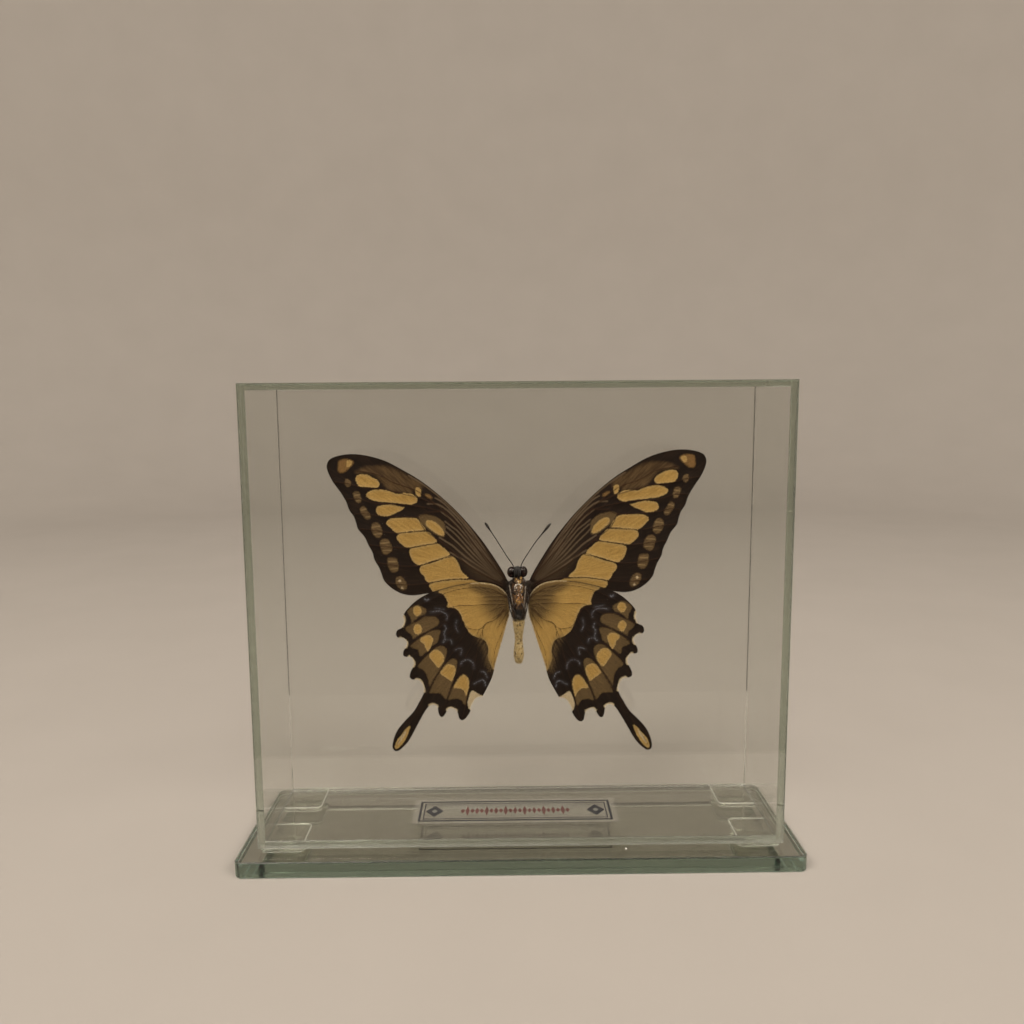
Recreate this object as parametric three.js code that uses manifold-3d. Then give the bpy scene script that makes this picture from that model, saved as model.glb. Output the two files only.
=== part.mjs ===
// A spread swallowtail butterfly in a closed glass case on a mirror-glass base.
// Millimetres, +Z up, origin at the middle of the underside of the base.
// +X runs along the case and +Y goes through it, so the specimen's underside faces -Y.

import * as THREE from "three";
import { mergeVertices } from "three/addons/utils/BufferGeometryUtils.js";
import Module from "manifold-3d";

// ---------- driving dimensions ----------

const BASE = { length: 172.4, depth: 50, thickness: 5, cornerRadius: 2.5, edgeRadius: 0.8 };
const CASE = { length: 160, depth: 40, height: 140 };
const GLASS = 2;                 // thickness of every pane
const GLUE_LINE = 0.05;          // film of clear glue between two panes
const PAD = { length: 13.6, depth: 14.4, thickness: 1.6, cornerRadius: 2.5 };
const CONTACT = 0.02;            // hairline left between faces that rest on each other
const LABEL = { length: 66, depth: 16.5, thickness: 0.1, cornerRadius: 0.8, x: -1.6, y: -0.3 };
const WING_THICKNESS = 0.4;
const FOREWING_LIFT = 0.2;       // near face of the forewings, in front of the wing hinge plane
const HINDWING_LIFT = -0.5;      // near face of the hindwings
const WING_RISE = THREE.MathUtils.degToRad(2);   // each wing leans back this much from the body
const WING_HINGE = { x: 3, y: -0.9 };
const SPECIMEN_HEIGHT = 76.2;     // height of the specimen's own origin, at the foot of the thorax
const POST = { radius: 2, x: -0.2, z: 7.5, bodyEnd: -4.3 };
const FEELER_RADIUS = 0.17;
const CLUB_RADIUS = 0.34;

const caseFloor = BASE.thickness + PAD.thickness;     // underside of the case
const innerDepth = CASE.depth - 2 * GLASS;
const innerHeight = CASE.height - 2 * GLASS;

// Pad centres: [name, x, y]
const PADS = [
  ["pad_front_left", -73.0, -12.2],
  ["pad_front_right", 73.0, -11.9],
  ["pad_rear_left", -72.6, 12.3],
  ["pad_rear_right", 72.8, 12.0],
];

// Outline of the right forewing seen from -Y: x outward, z up from the specimen's origin.
// Each list is one smooth stretch and starts where the one before it ends.
const FOREWING = {
  leadingEdge: [
    [2.9, 7.6], [4.3, 10.8], [7.5, 16.3], [11.4, 22.2], [15.9, 27.9], [20, 32.4], [25, 37.1],
    [30.3, 41.3], [35, 44.2], [40, 47], [45, 48.7], [49.8, 49.5], [54.1, 49.3], [57.6, 48.2],
    [58.8, 46.2], [58.5, 44.1], [57.2, 41.2],
  ],
  outerEdge: [
    [57.2, 41.2], [54.9, 37.8], [53.2, 34.8], [52.4, 32.2], [51, 30.1], [50.3, 27.8], [49.8, 26],
    [47.9, 23.5], [46.8, 21], [45.6, 18.4], [45.1, 16.2], [43.8, 13.8], [43, 11.5], [42.4, 9.6],
    [40.4, 7.3], [38, 5.7], [35.5, 4.8], [33, 4.6], [30.5, 4.9],
  ],
  hindEdge: [[30.5, 4.9], [24, 5.5], [16, 5.5], [9, 4.6], [5, 3.7], [2.9, 3.2]],
};

// Outline of the right hindwing, with its seven teeth and the spoon-shaped tail.
const HINDWING = {
  leadingEdge: [
    [2.9, 2.8], [4, 5.2], [5.6, 6.9], [8, 8.2], [12, 8.9], [16, 8.7], [20, 8.1], [24, 7.1],
    [28, 5.9], [30.6, 4.7], [33, 3.2], [35, 1.4], [36.6, -0.4], [37.3, -1.9],
  ],
  firstTeeth: [
    [37.3, -1.9], [36.9, -2.9], [37.2, -4.5], [38, -5.7], [39.3, -6.3], [39.8, -7.8], [39.1, -8.8],
    [37.6, -8.9], [36.4, -10.3], [36.6, -11.7], [37.6, -13.3], [37.8, -14.8], [36.9, -15.3],
    [35.3, -15.4], [34.4, -17.3], [34.8, -18.8], [35.8, -20.8], [36, -22.4], [35, -23.1],
    [33.4, -23.1], [32.2, -24.2], [31.5, -26.2],
  ],
  tail: [
    [31.5, -26.2], [31.9, -28.2], [33.6, -31.3], [35.4, -34.2], [38.3, -37.2], [40.7, -40],
    [42.1, -42.8], [42.8, -45.6], [42.5, -47.1], [41.3, -47.5], [39.5, -46.3], [37.5, -44.1],
    [35.6, -40.9], [34, -38], [32.2, -34.9], [30.6, -32.6], [29, -31.7],
  ],
  lastTeeth: [
    [29, -31.7], [27.6, -32.3], [27.3, -34.2], [26.9, -35.7], [26.1, -36.1], [25, -34.9],
    [24.3, -33.5], [23.3, -33], [21.6, -33.7], [20.9, -35.1], [20.6, -36.7], [19.6, -37.4],
    [18.2, -36.4], [17, -34.4], [16.9, -33.2], [16.2, -31.6], [15.2, -30.1], [13.9, -29.4],
    [12.7, -29.3],
  ],
  innerEdge: [
    [12.7, -29.3], [11.7, -27.5], [10.4, -25.1], [9.2, -22.4], [8.2, -18.6], [6.9, -14.4],
    [5.2, -9], [4.1, -5.2], [3.2, -2.5], [2.9, 0],
  ],
};

// The left wings are turned a little further down than the right ones, and the left hindwing is
// slightly smaller. Scale is [across, up].
const LEFT_FOREWING = { turn: THREE.MathUtils.degToRad(-0.8), scale: [1, 1], pivot: [3, 5] };
const LEFT_HINDWING = { turn: THREE.MathUtils.degToRad(-1.5), scale: [0.985, 0.968], pivot: [3, 3] };

// Half width of thorax and abdomen from the tip of the abdomen up to the neck: [radius, z].
const BODY_PROFILE = [
  [0, -17.9], [0.7, -17.5], [1.3, -16.4], [1.65, -14.6], [1.45, -12.4], [1.15, -10.4],
  [1.15, -8.8], [1.45, -7], [1.85, -4.6], [1.9, -3], [2.1, -1], [2.3, 1.5], [2.5, 4.5],
  [2.45, 6.6], [2.1, 8.4], [1.5, 9.6], [1.2, 10.6], [0, 11],
];
const BODY_CENTRE = { x: -0.1, y: -1.3 };
const BODY_DEPTH = 1.15;         // how much deeper than wide the trunk is
const HEAD = { x: -0.4, y: -1.5, z: 11.7, halfWidth: 2.3, halfDepth: 1.6, halfHeight: 1.7 };
const EYES = [
  { x: -2.35, y: -1.3, z: 11.7, radius: 1.25 },
  { x: 1.55, y: -1.3, z: 11.8, radius: 1.25 },
];

// Feelers from the forehead to the tip: [x, y, z]
const FEELERS = {
  antenna_left: [[-1.5, -1.6, 13.75], [-3.9, -1.9, 17.3], [-7.2, -2.1, 22.7], [-10.4, -2.2, 27.8]],
  antenna_right: [[0.7, -1.6, 13.85], [2.2, -1.9, 16.6], [5.4, -2.1, 21.4], [10.1, -2.2, 27.4]],
};

// ---------- materials ----------

function material(color, roughness, metalness = 0, opacity = 1) {
  return new THREE.MeshStandardMaterial({
    color, roughness, metalness, opacity, transparent: opacity < 1,
  });
}

const paneGlass = material(0xc4d8ca, 0.03, 0, 0.25);
const mirrorGlass = material(0x7d7a70, 0.05, 0.8);
const clearGel = material(0xd3dbd2, 0.2, 0, 0.4);
const printedFilm = material(0xb9beb8, 0.35, 0, 0.8);
const clearGlue = material(0xcfa765, 0.15, 0, 0.6);
const chitin = material(0x5a4226, 0.7);
const wingScales = material(0x2b211a, 0.75);
const paleWingScales = material(0xb98f45, 0.75);
const feelerChitin = material(0x17120f, 0.5);

// ---------- helpers ----------

const wasm = await Module();
wasm.setup();

function toSolid(geometry) {
  const bare = geometry.index ? geometry.toNonIndexed() : geometry.clone();
  bare.deleteAttribute("normal");
  bare.deleteAttribute("uv");
  const merged = mergeVertices(bare, 1e-4);
  return new wasm.Manifold(new wasm.Mesh({
    numProp: 3,
    vertProperties: new Float32Array(merged.attributes.position.array),
    triVerts: new Uint32Array(merged.index.array),
  }));
}

function toGeometry(solid) {
  const mesh = solid.getMesh();
  const geometry = new THREE.BufferGeometry();
  geometry.setAttribute("position", new THREE.BufferAttribute(mesh.vertProperties, 3));
  geometry.setIndex(new THREE.BufferAttribute(mesh.triVerts, 1));
  geometry.computeVertexNormals();
  return geometry;
}

function joined(...geometries) {
  return toGeometry(geometries.map(toSolid).reduce((whole, piece) => whole.add(piece)));
}

function roundedRectangle(length, depth, radius) {
  const x = length / 2;
  const y = depth / 2;
  const shape = new THREE.Shape();
  shape.moveTo(-x + radius, -y);
  shape.lineTo(x - radius, -y);
  shape.absarc(x - radius, -y + radius, radius, -Math.PI / 2, 0);
  shape.lineTo(x, y - radius);
  shape.absarc(x - radius, y - radius, radius, 0, Math.PI / 2);
  shape.lineTo(-x + radius, y);
  shape.absarc(-x + radius, y - radius, radius, Math.PI / 2, Math.PI);
  shape.lineTo(-x, -y + radius);
  shape.absarc(-x + radius, -y + radius, radius, Math.PI, Math.PI * 1.5);
  return shape;
}

function smoothOutline(stretches) {
  const shape = new THREE.Shape();
  stretches.forEach((stretch, index) => {
    const points = stretch.map(([x, z]) => new THREE.Vector2(x, z));
    if (index === 0) shape.moveTo(points[0].x, points[0].y);
    shape.splineThru(points.slice(1));
  });
  shape.closePath();
  return shape;
}

function place(name, geometry, finish, x = 0, y = 0, z = 0) {
  const mesh = new THREE.Mesh(geometry, finish);
  mesh.name = name;
  mesh.position.set(x, y, z);
  return mesh;
}

// ---------- base, pads and case ----------

function mirrorBase() {
  const { edgeRadius } = BASE;
  const outline = roundedRectangle(
    BASE.length - 2 * edgeRadius, BASE.depth - 2 * edgeRadius, BASE.cornerRadius - edgeRadius,
  );
  const geometry = new THREE.ExtrudeGeometry(outline, {
    depth: BASE.thickness - 2 * edgeRadius,
    bevelThickness: edgeRadius,
    bevelSize: edgeRadius,
    bevelSegments: 3,
    curveSegments: 6,
  });
  return place("mirror_base", geometry, mirrorGlass, 0, 0, edgeRadius);
}

function pads() {
  const thickness = PAD.thickness - 2 * CONTACT;
  const outline = roundedRectangle(PAD.length, PAD.depth, PAD.cornerRadius);
  return PADS.map(([name, x, y]) => {
    const geometry = new THREE.ExtrudeGeometry(outline, {
      depth: thickness, bevelEnabled: false, curveSegments: 6,
    });
    return place(name, geometry, clearGel, x, y, BASE.thickness + CONTACT);
  });
}

function panes() {
  const middle = caseFloor + CASE.height / 2;
  const largeY = (CASE.depth - GLASS) / 2;
  const endX = (CASE.length - GLASS) / 2;
  const levelZ = (CASE.height - GLASS) / 2;
  const large = [CASE.length, GLASS, CASE.height];
  const end = [GLASS, innerDepth - 2 * GLUE_LINE, CASE.height];
  const level = [
    CASE.length - 2 * GLASS - 2 * GLUE_LINE, innerDepth - 2 * GLUE_LINE, GLASS,
  ];
  const list = [
    ["pane_near", large, 0, -largeY, middle],
    ["pane_far", large, 0, largeY, middle],
    ["pane_left", end, -endX, 0, middle],
    ["pane_right", end, endX, 0, middle],
    ["pane_top", level, 0, 0, middle + levelZ],
    ["pane_bottom", level, 0, 0, middle - levelZ],
  ];
  return list.map(([name, size, x, y, z]) => (
    place(name, new THREE.BoxGeometry(...size), paneGlass, x, y, z)
  ));
}

function label() {
  const outline = roundedRectangle(LABEL.length, LABEL.depth, LABEL.cornerRadius);
  const geometry = new THREE.ExtrudeGeometry(outline, {
    depth: LABEL.thickness, bevelEnabled: false, curveSegments: 4,
  });
  const z = caseFloor + GLASS + CONTACT;
  return place("label", geometry, printedFilm, LABEL.x, LABEL.y, z);
}

function gluePost() {
  const paneEnd = -innerDepth / 2 + GLUE_LINE;
  const length = POST.bodyEnd - paneEnd;
  const geometry = new THREE.CylinderGeometry(POST.radius, POST.radius, length, 24);
  const middle = (POST.bodyEnd + paneEnd) / 2;
  return place("glue_post", geometry, clearGlue, POST.x, middle, SPECIMEN_HEIGHT + POST.z);
}

// ---------- butterfly ----------

function body() {
  const profile = BODY_PROFILE.map(([radius, z]) => new THREE.Vector2(radius, z));
  const trunk = new THREE.LatheGeometry(profile, 24);
  trunk.rotateX(Math.PI / 2);
  trunk.scale(1, BODY_DEPTH, 1);
  trunk.translate(BODY_CENTRE.x, BODY_CENTRE.y, 0);
  const head = new THREE.SphereGeometry(1, 24, 16);
  head.scale(HEAD.halfWidth, HEAD.halfDepth, HEAD.halfHeight);
  head.translate(HEAD.x, HEAD.y, HEAD.z);
  const eyes = EYES.map(({ x, y, z, radius }) => (
    new THREE.SphereGeometry(radius, 20, 14).translate(x, y, z)
  ));
  return place("body", joined(trunk, head, ...eyes), chitin);
}

function wing(name, outline, lift, finish, side, set = null) {
  const geometry = new THREE.ExtrudeGeometry(smoothOutline(Object.values(outline)), {
    depth: WING_THICKNESS, bevelEnabled: false, curveSegments: 2,
  });
  if (set) {
    const [px, pz] = set.pivot;
    geometry.translate(-px, -pz, 0);
    geometry.scale(...set.scale, 1);
    geometry.rotateZ(set.turn);
    geometry.translate(px, pz, 0);
  }
  geometry.rotateX(Math.PI / 2);
  geometry.translate(-WING_HINGE.x, WING_THICKNESS + lift, 0);
  geometry.rotateZ(WING_RISE);
  geometry.translate(WING_HINGE.x, WING_HINGE.y, 0);
  if (side > 0) return place(name, geometry, finish);
  const mirrored = toSolid(geometry).mirror([1, 0, 0]);
  return place(name, toGeometry(mirrored), finish);
}

function feeler(name, points) {
  const path = new THREE.CatmullRomCurve3(points.map((p) => new THREE.Vector3(...p)));
  const section = new THREE.Shape().absarc(0, 0, FEELER_RADIUS, 0, Math.PI * 2);
  const stalk = new THREE.ExtrudeGeometry(section, {
    steps: 12, curveSegments: 6, extrudePath: path,
  });
  const clubProfile = [
    [0, -1.6], [0.6, -1.3], [0.85, -0.5], [1, 0.5], [0.85, 1.2], [0.45, 1.55], [0, 1.6],
  ].map(([radius, along]) => new THREE.Vector2(radius * CLUB_RADIUS, along));
  const club = new THREE.LatheGeometry(clubProfile, 8);
  const tangent = path.getTangent(1);
  club.applyQuaternion(new THREE.Quaternion().setFromUnitVectors(
    new THREE.Vector3(0, 1, 0), tangent,
  ));
  const tip = path.getPoint(1).addScaledVector(tangent, -1.2);
  club.translate(tip.x, tip.y, tip.z);
  return place(name, joined(stalk, club), feelerChitin);
}

function butterfly() {
  const specimen = new THREE.Group();
  specimen.position.z = SPECIMEN_HEIGHT;
  specimen.add(
    body(),
    wing("forewing_left", FOREWING, FOREWING_LIFT, wingScales, -1, LEFT_FOREWING),
    wing("forewing_right", FOREWING, FOREWING_LIFT, wingScales, 1),
    wing("hindwing_left", HINDWING, HINDWING_LIFT, paleWingScales, -1, LEFT_HINDWING),
    wing("hindwing_right", HINDWING, HINDWING_LIFT, paleWingScales, 1),
  );
  for (const [name, points] of Object.entries(FEELERS)) specimen.add(feeler(name, points));
  return specimen;
}

const display = new THREE.Group();
display.add(mirrorBase(), ...pads(), ...panes(), label(), gluePost(), butterfly());

export default display;
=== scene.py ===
import math
import random
from functools import partial

import bmesh
import bpy
import numpy as np
from mathutils import Matrix, Vector, noise


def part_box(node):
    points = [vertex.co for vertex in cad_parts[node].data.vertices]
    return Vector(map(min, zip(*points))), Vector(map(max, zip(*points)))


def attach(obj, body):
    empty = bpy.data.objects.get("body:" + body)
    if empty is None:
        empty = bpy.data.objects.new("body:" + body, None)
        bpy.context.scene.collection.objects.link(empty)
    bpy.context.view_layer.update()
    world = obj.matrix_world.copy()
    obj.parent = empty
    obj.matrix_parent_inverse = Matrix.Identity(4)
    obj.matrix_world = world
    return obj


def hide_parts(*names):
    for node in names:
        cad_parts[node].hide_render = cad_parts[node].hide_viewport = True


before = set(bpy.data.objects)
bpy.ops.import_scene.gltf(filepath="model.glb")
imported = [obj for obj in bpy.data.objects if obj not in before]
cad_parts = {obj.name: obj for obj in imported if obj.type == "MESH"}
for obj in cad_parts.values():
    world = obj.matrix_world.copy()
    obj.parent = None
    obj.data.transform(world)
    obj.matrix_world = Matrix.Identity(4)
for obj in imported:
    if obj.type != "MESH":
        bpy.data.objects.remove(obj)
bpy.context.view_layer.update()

scene = bpy.context.scene

# Everything is modelled in millimetres and brought to metres once, when a piece is finished.
MM = 0.001
X, Z = Vector((1, 0, 0)), Vector((0, 0, 1))


def cad_box(node):
    """Lowest and highest corner of a CAD node, in millimetres."""
    low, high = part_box(node)
    return Vector(low) / MM, Vector(high) / MM


# ---------------------------------------------------------------- camera

CAMERA_PLACE = (-4.36, -266.1, 140.8)
CAMERA_YAW = math.radians(0.526)      # to the right
CAMERA_DROP = math.radians(7.317)     # below the level
CAMERA_ROLL = math.radians(0.423)
CAMERA_LENS = 30.18


def place_camera():
    """The camera in front of the display, turned by its yaw, drop and roll."""
    data = bpy.data.cameras.new("camera")
    data.lens = CAMERA_LENS
    data.sensor_width = 36
    data.clip_start = 0.01
    data.clip_end = 50
    camera = bpy.data.objects.new("camera", data)
    scene.collection.objects.link(camera)
    ahead = Vector((
        math.sin(CAMERA_YAW) * math.cos(CAMERA_DROP),
        math.cos(CAMERA_YAW) * math.cos(CAMERA_DROP),
        -math.sin(CAMERA_DROP),
    ))
    right = Vector((math.cos(CAMERA_YAW), -math.sin(CAMERA_YAW), 0))
    down = ahead.cross(right)
    rolled_right = right * math.cos(CAMERA_ROLL) + down * math.sin(CAMERA_ROLL)
    rolled_down = down * math.cos(CAMERA_ROLL) - right * math.sin(CAMERA_ROLL)
    turn = Matrix((rolled_right, -rolled_down, -ahead)).transposed()
    camera.matrix_world = Matrix.Translation(Vector(CAMERA_PLACE) * MM) @ turn.to_4x4()
    scene.camera = camera


# ---------------------------------------------------------------- helpers for materials

SMOOTH = {"interpolation_type": "SMOOTHSTEP"}      # on a Map Range: value, from low, high, to low, high
COLOURS = {"data_type": "RGBA"}                    # on a Mix: 0 is the share, 6 and 7 are the colours


def linear(colour):
    """An sRGB hex colour as the linear colour that a shader takes."""
    channels = [int(colour[i:i + 2], 16) / 255 for i in (1, 3, 5)]
    return tuple(c / 12.92 if c <= 0.04045 else ((c + 0.055) / 1.055) ** 2.4 for c in channels) + (1,)


def add(tree, kind, inputs=(), output=None, **settings):
    """Adds a node with its settings, and sets or links its inputs, which come by name or in order. A hex
    colour is made linear. Gives the named output, or else the first live one."""
    node = tree.nodes.new("ShaderNode" + kind)
    for name, value in settings.items():
        setattr(node, name, value)
    for name, value in inputs.items() if isinstance(inputs, dict) else enumerate(inputs):
        if isinstance(value, bpy.types.NodeSocket):
            tree.links.new(value, node.inputs[name])
        else:
            node.inputs[name].default_value = linear(value) if isinstance(value, str) else value
    return node.outputs[output] if output else next((o for o in node.outputs if o.enabled), None)


def start(name):
    """A new, empty material, the function that adds its nodes, and its Object coordinates."""
    material = bpy.data.materials.new(name)
    material.use_nodes = True
    material.node_tree.nodes.clear()
    node = partial(add, material.node_tree)
    return material, node, node("TexCoord", output="Object")


def blotches(place, size, detail=2.0):
    """Inputs of a noise whose blotches are about size millimetres across."""
    return {"Vector": place, "Scale": 1 / (size * MM), "Detail": detail}


# ---------------------------------------------------------------- materials of the case

def float_glass(name, clean, absorb, density, dust):
    """Float glass: fire-polished faces that are nearly perfect mirrors, with a trace of dust and wiping.
    Faces marked as ground are the stone-ground corners and edges, finely matt, so they catch the light as
    thin pale lines. Iron in the melt gives the green that only shows along its length."""
    material, node, place = start(name)
    wiping = node("MapRange", (node("TexNoise", blotches(place, 26, 3)), 0.5, 0.8, 0, dust), **SMOOTH)
    grit = node("MapRange", (node("TexNoise", blotches(place, 0.12)), 0.3, 0.7, 0.1, 0.26), **SMOOTH)
    rougher = node("Math", (grit, wiping), operation="SUBTRACT")
    ground = node("Attribute", output="Fac", attribute_name="ground")
    sag = node("TexNoise", blotches(place, 45, 0))
    surface = node("BsdfPrincipled", {
        "Base Color": clean, "Transmission Weight": 1, "IOR": 1.52,
        "Roughness": node("Math", (ground, rougher, wiping), operation="MULTIPLY_ADD"),
        "Normal": node("Bump", {"Height": sag, "Strength": 0.02, "Distance": 0.001}),
    })
    inside = node("VolumeAbsorption", {"Color": absorb, "Density": density})
    node("OutputMaterial", {"Surface": surface, "Volume": inside})
    return material


def mirror_back():
    """Silver laid on the underside of the glass, under a rolled coat of grey lacquer. From inside the glass
    it is a slightly dulled mirror, and from below it is matt paint with a fine orange peel."""
    material, node, place = start("silvered_and_lacquered_back")
    clouds = node("TexNoise", blotches(place, 30, 3))
    metal = node("Mix", {0: clouds, 6: "#bdb9b0", 7: "#c9c5bb"}, **COLOURS)
    specks = node("MapRange", (node("TexNoise", blotches(place, 0.5, 3)), 0.68, 0.8), **SMOOTH)
    silver = node("BsdfPrincipled", {
        "Base Color": node("Mix", {0: specks, 6: metal, 7: "#96928a"}, **COLOURS), "Metallic": 1,
        "Roughness": node("MapRange", (clouds, 0.4, 0.8, 0, 0.008), **SMOOTH),
    })
    peel = node("TexNoise", blotches(place, 0.9))
    paint = node("BsdfPrincipled", {
        "Base Color": node("Mix", {
            0: node("TexNoise", blotches(place, 6, 3)), 6: "#3f4241", 7: "#4a4d4b",
        }, **COLOURS),
        "Roughness": 0.6, "Normal": node("Bump", {"Height": peel, "Strength": 0.4, "Distance": 0.0001}),
    })
    facing = node("NewGeometry", output="Backfacing")
    node("OutputMaterial", {"Surface": node("MixShader", (facing, paint, silver))})
    return material


def clear_gel():
    """Cast polyurethane gel, as on bump-on pads: clear and glossy, with a soft lumpy surface. Its rounded
    rims are made milky, a painted highlight that draws each pad as a pale outline."""
    material, node, place = start("cast_clear_gel")
    lumps = node("TexNoise", blotches(place, 2.6))
    tack = node("TexNoise", blotches(place, 1.2))
    rim = node("Attribute", output="Fac", attribute_name="ground")
    surface = node("BsdfPrincipled", {
        "Base Color": "#f4f6f0", "IOR": 1.46,
        # The rims let less light through and show the pale base colour: a painted highlight.
        "Transmission Weight": node("MapRange", (rim, 0, 1, 1, 0.65), **SMOOTH),
        "Roughness": node("MapRange", (tack, 0.5, 0.8, 0.02, 0.12), **SMOOTH),
        "Normal": node("Bump", {"Height": lumps, "Strength": 0.3, "Distance": 0.0005}),
    })
    inside = node("VolumeAbsorption", {"Color": "#dfe3d8", "Density": 60})
    node("OutputMaterial", {"Surface": surface, "Volume": inside})
    return material


def clear_film():
    """Clear polyester label film: mostly see-through, with a faint milky haze from its adhesive."""
    material, node, place = start("clear_polyester_film")
    haze = node("TexNoise", blotches(place, 5, 3))
    smears = node("TexNoise", blotches(place, 1.5))
    surface = node("BsdfPrincipled", {
        "Base Color": "#fbfbf9", "IOR": 1.5,
        "Transmission Weight": node("MapRange", (haze, 0.3, 0.7, 0.965, 0.985), **SMOOTH),
        "Roughness": node("MapRange", (smears, 0.3, 0.7, 0, 0.015), **SMOOTH),
    })
    node("OutputMaterial", {"Surface": surface})
    return material


def printing_ink(name, colour, thin):
    """Inkjet ink on film: flat and slightly uneven, because each dot spreads a little. It is so thin that
    half of its light comes through to its other side, so it also shows in the mirror below."""
    material, node, place = start(name)
    spread = node("MapRange", (node("TexNoise", blotches(place, 0.25)), 0.35, 0.7), **SMOOTH)
    dots = node("Mix", {0: spread, 6: colour, 7: thin}, **COLOURS)
    surface = node("BsdfPrincipled", {"Base Color": dots, "Roughness": 0.5})
    through = node("BsdfTranslucent", {"Color": dots})
    node("OutputMaterial", {"Surface": node("MixShader", (0.45, surface, through))})
    return material


def amber_glue():
    """Cured contact glue, drawn into a post: clear amber, shiny, with trapped streaks."""
    material, node, place = start("cured_amber_glue")
    skin = node("TexNoise", blotches(place, 1.3, 1))
    streaks = node("TexNoise", blotches(place, 0.8))
    surface = node("BsdfPrincipled", {
        "Base Color": "#ffffff", "Transmission Weight": 1, "IOR": 1.49,
        "Roughness": node("MapRange", (streaks, 0.4, 0.8, 0.02, 0.16), **SMOOTH),
        "Normal": node("Bump", {"Height": skin, "Strength": 0.2, "Distance": 0.0003}),
    })
    inside = node("VolumeAbsorption", {"Color": "#e0a85a", "Density": 55})
    node("OutputMaterial", {"Surface": surface, "Volume": inside})
    return material


def household_dust():
    """A crumb of dust: white, matt and fluffy."""
    material, node, place = start("household_dust")
    fluff = node("TexNoise", blotches(place, 0.1))
    surface = node("BsdfPrincipled", {
        "Base Color": node("Mix", {0: fluff, 6: "#d9d5cf", 7: "#ffffff"}, **COLOURS), "Roughness": 0.9,
    })
    node("OutputMaterial", {"Surface": surface})
    return material


# ---------------------------------------------------------------- materials of the butterfly

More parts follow.
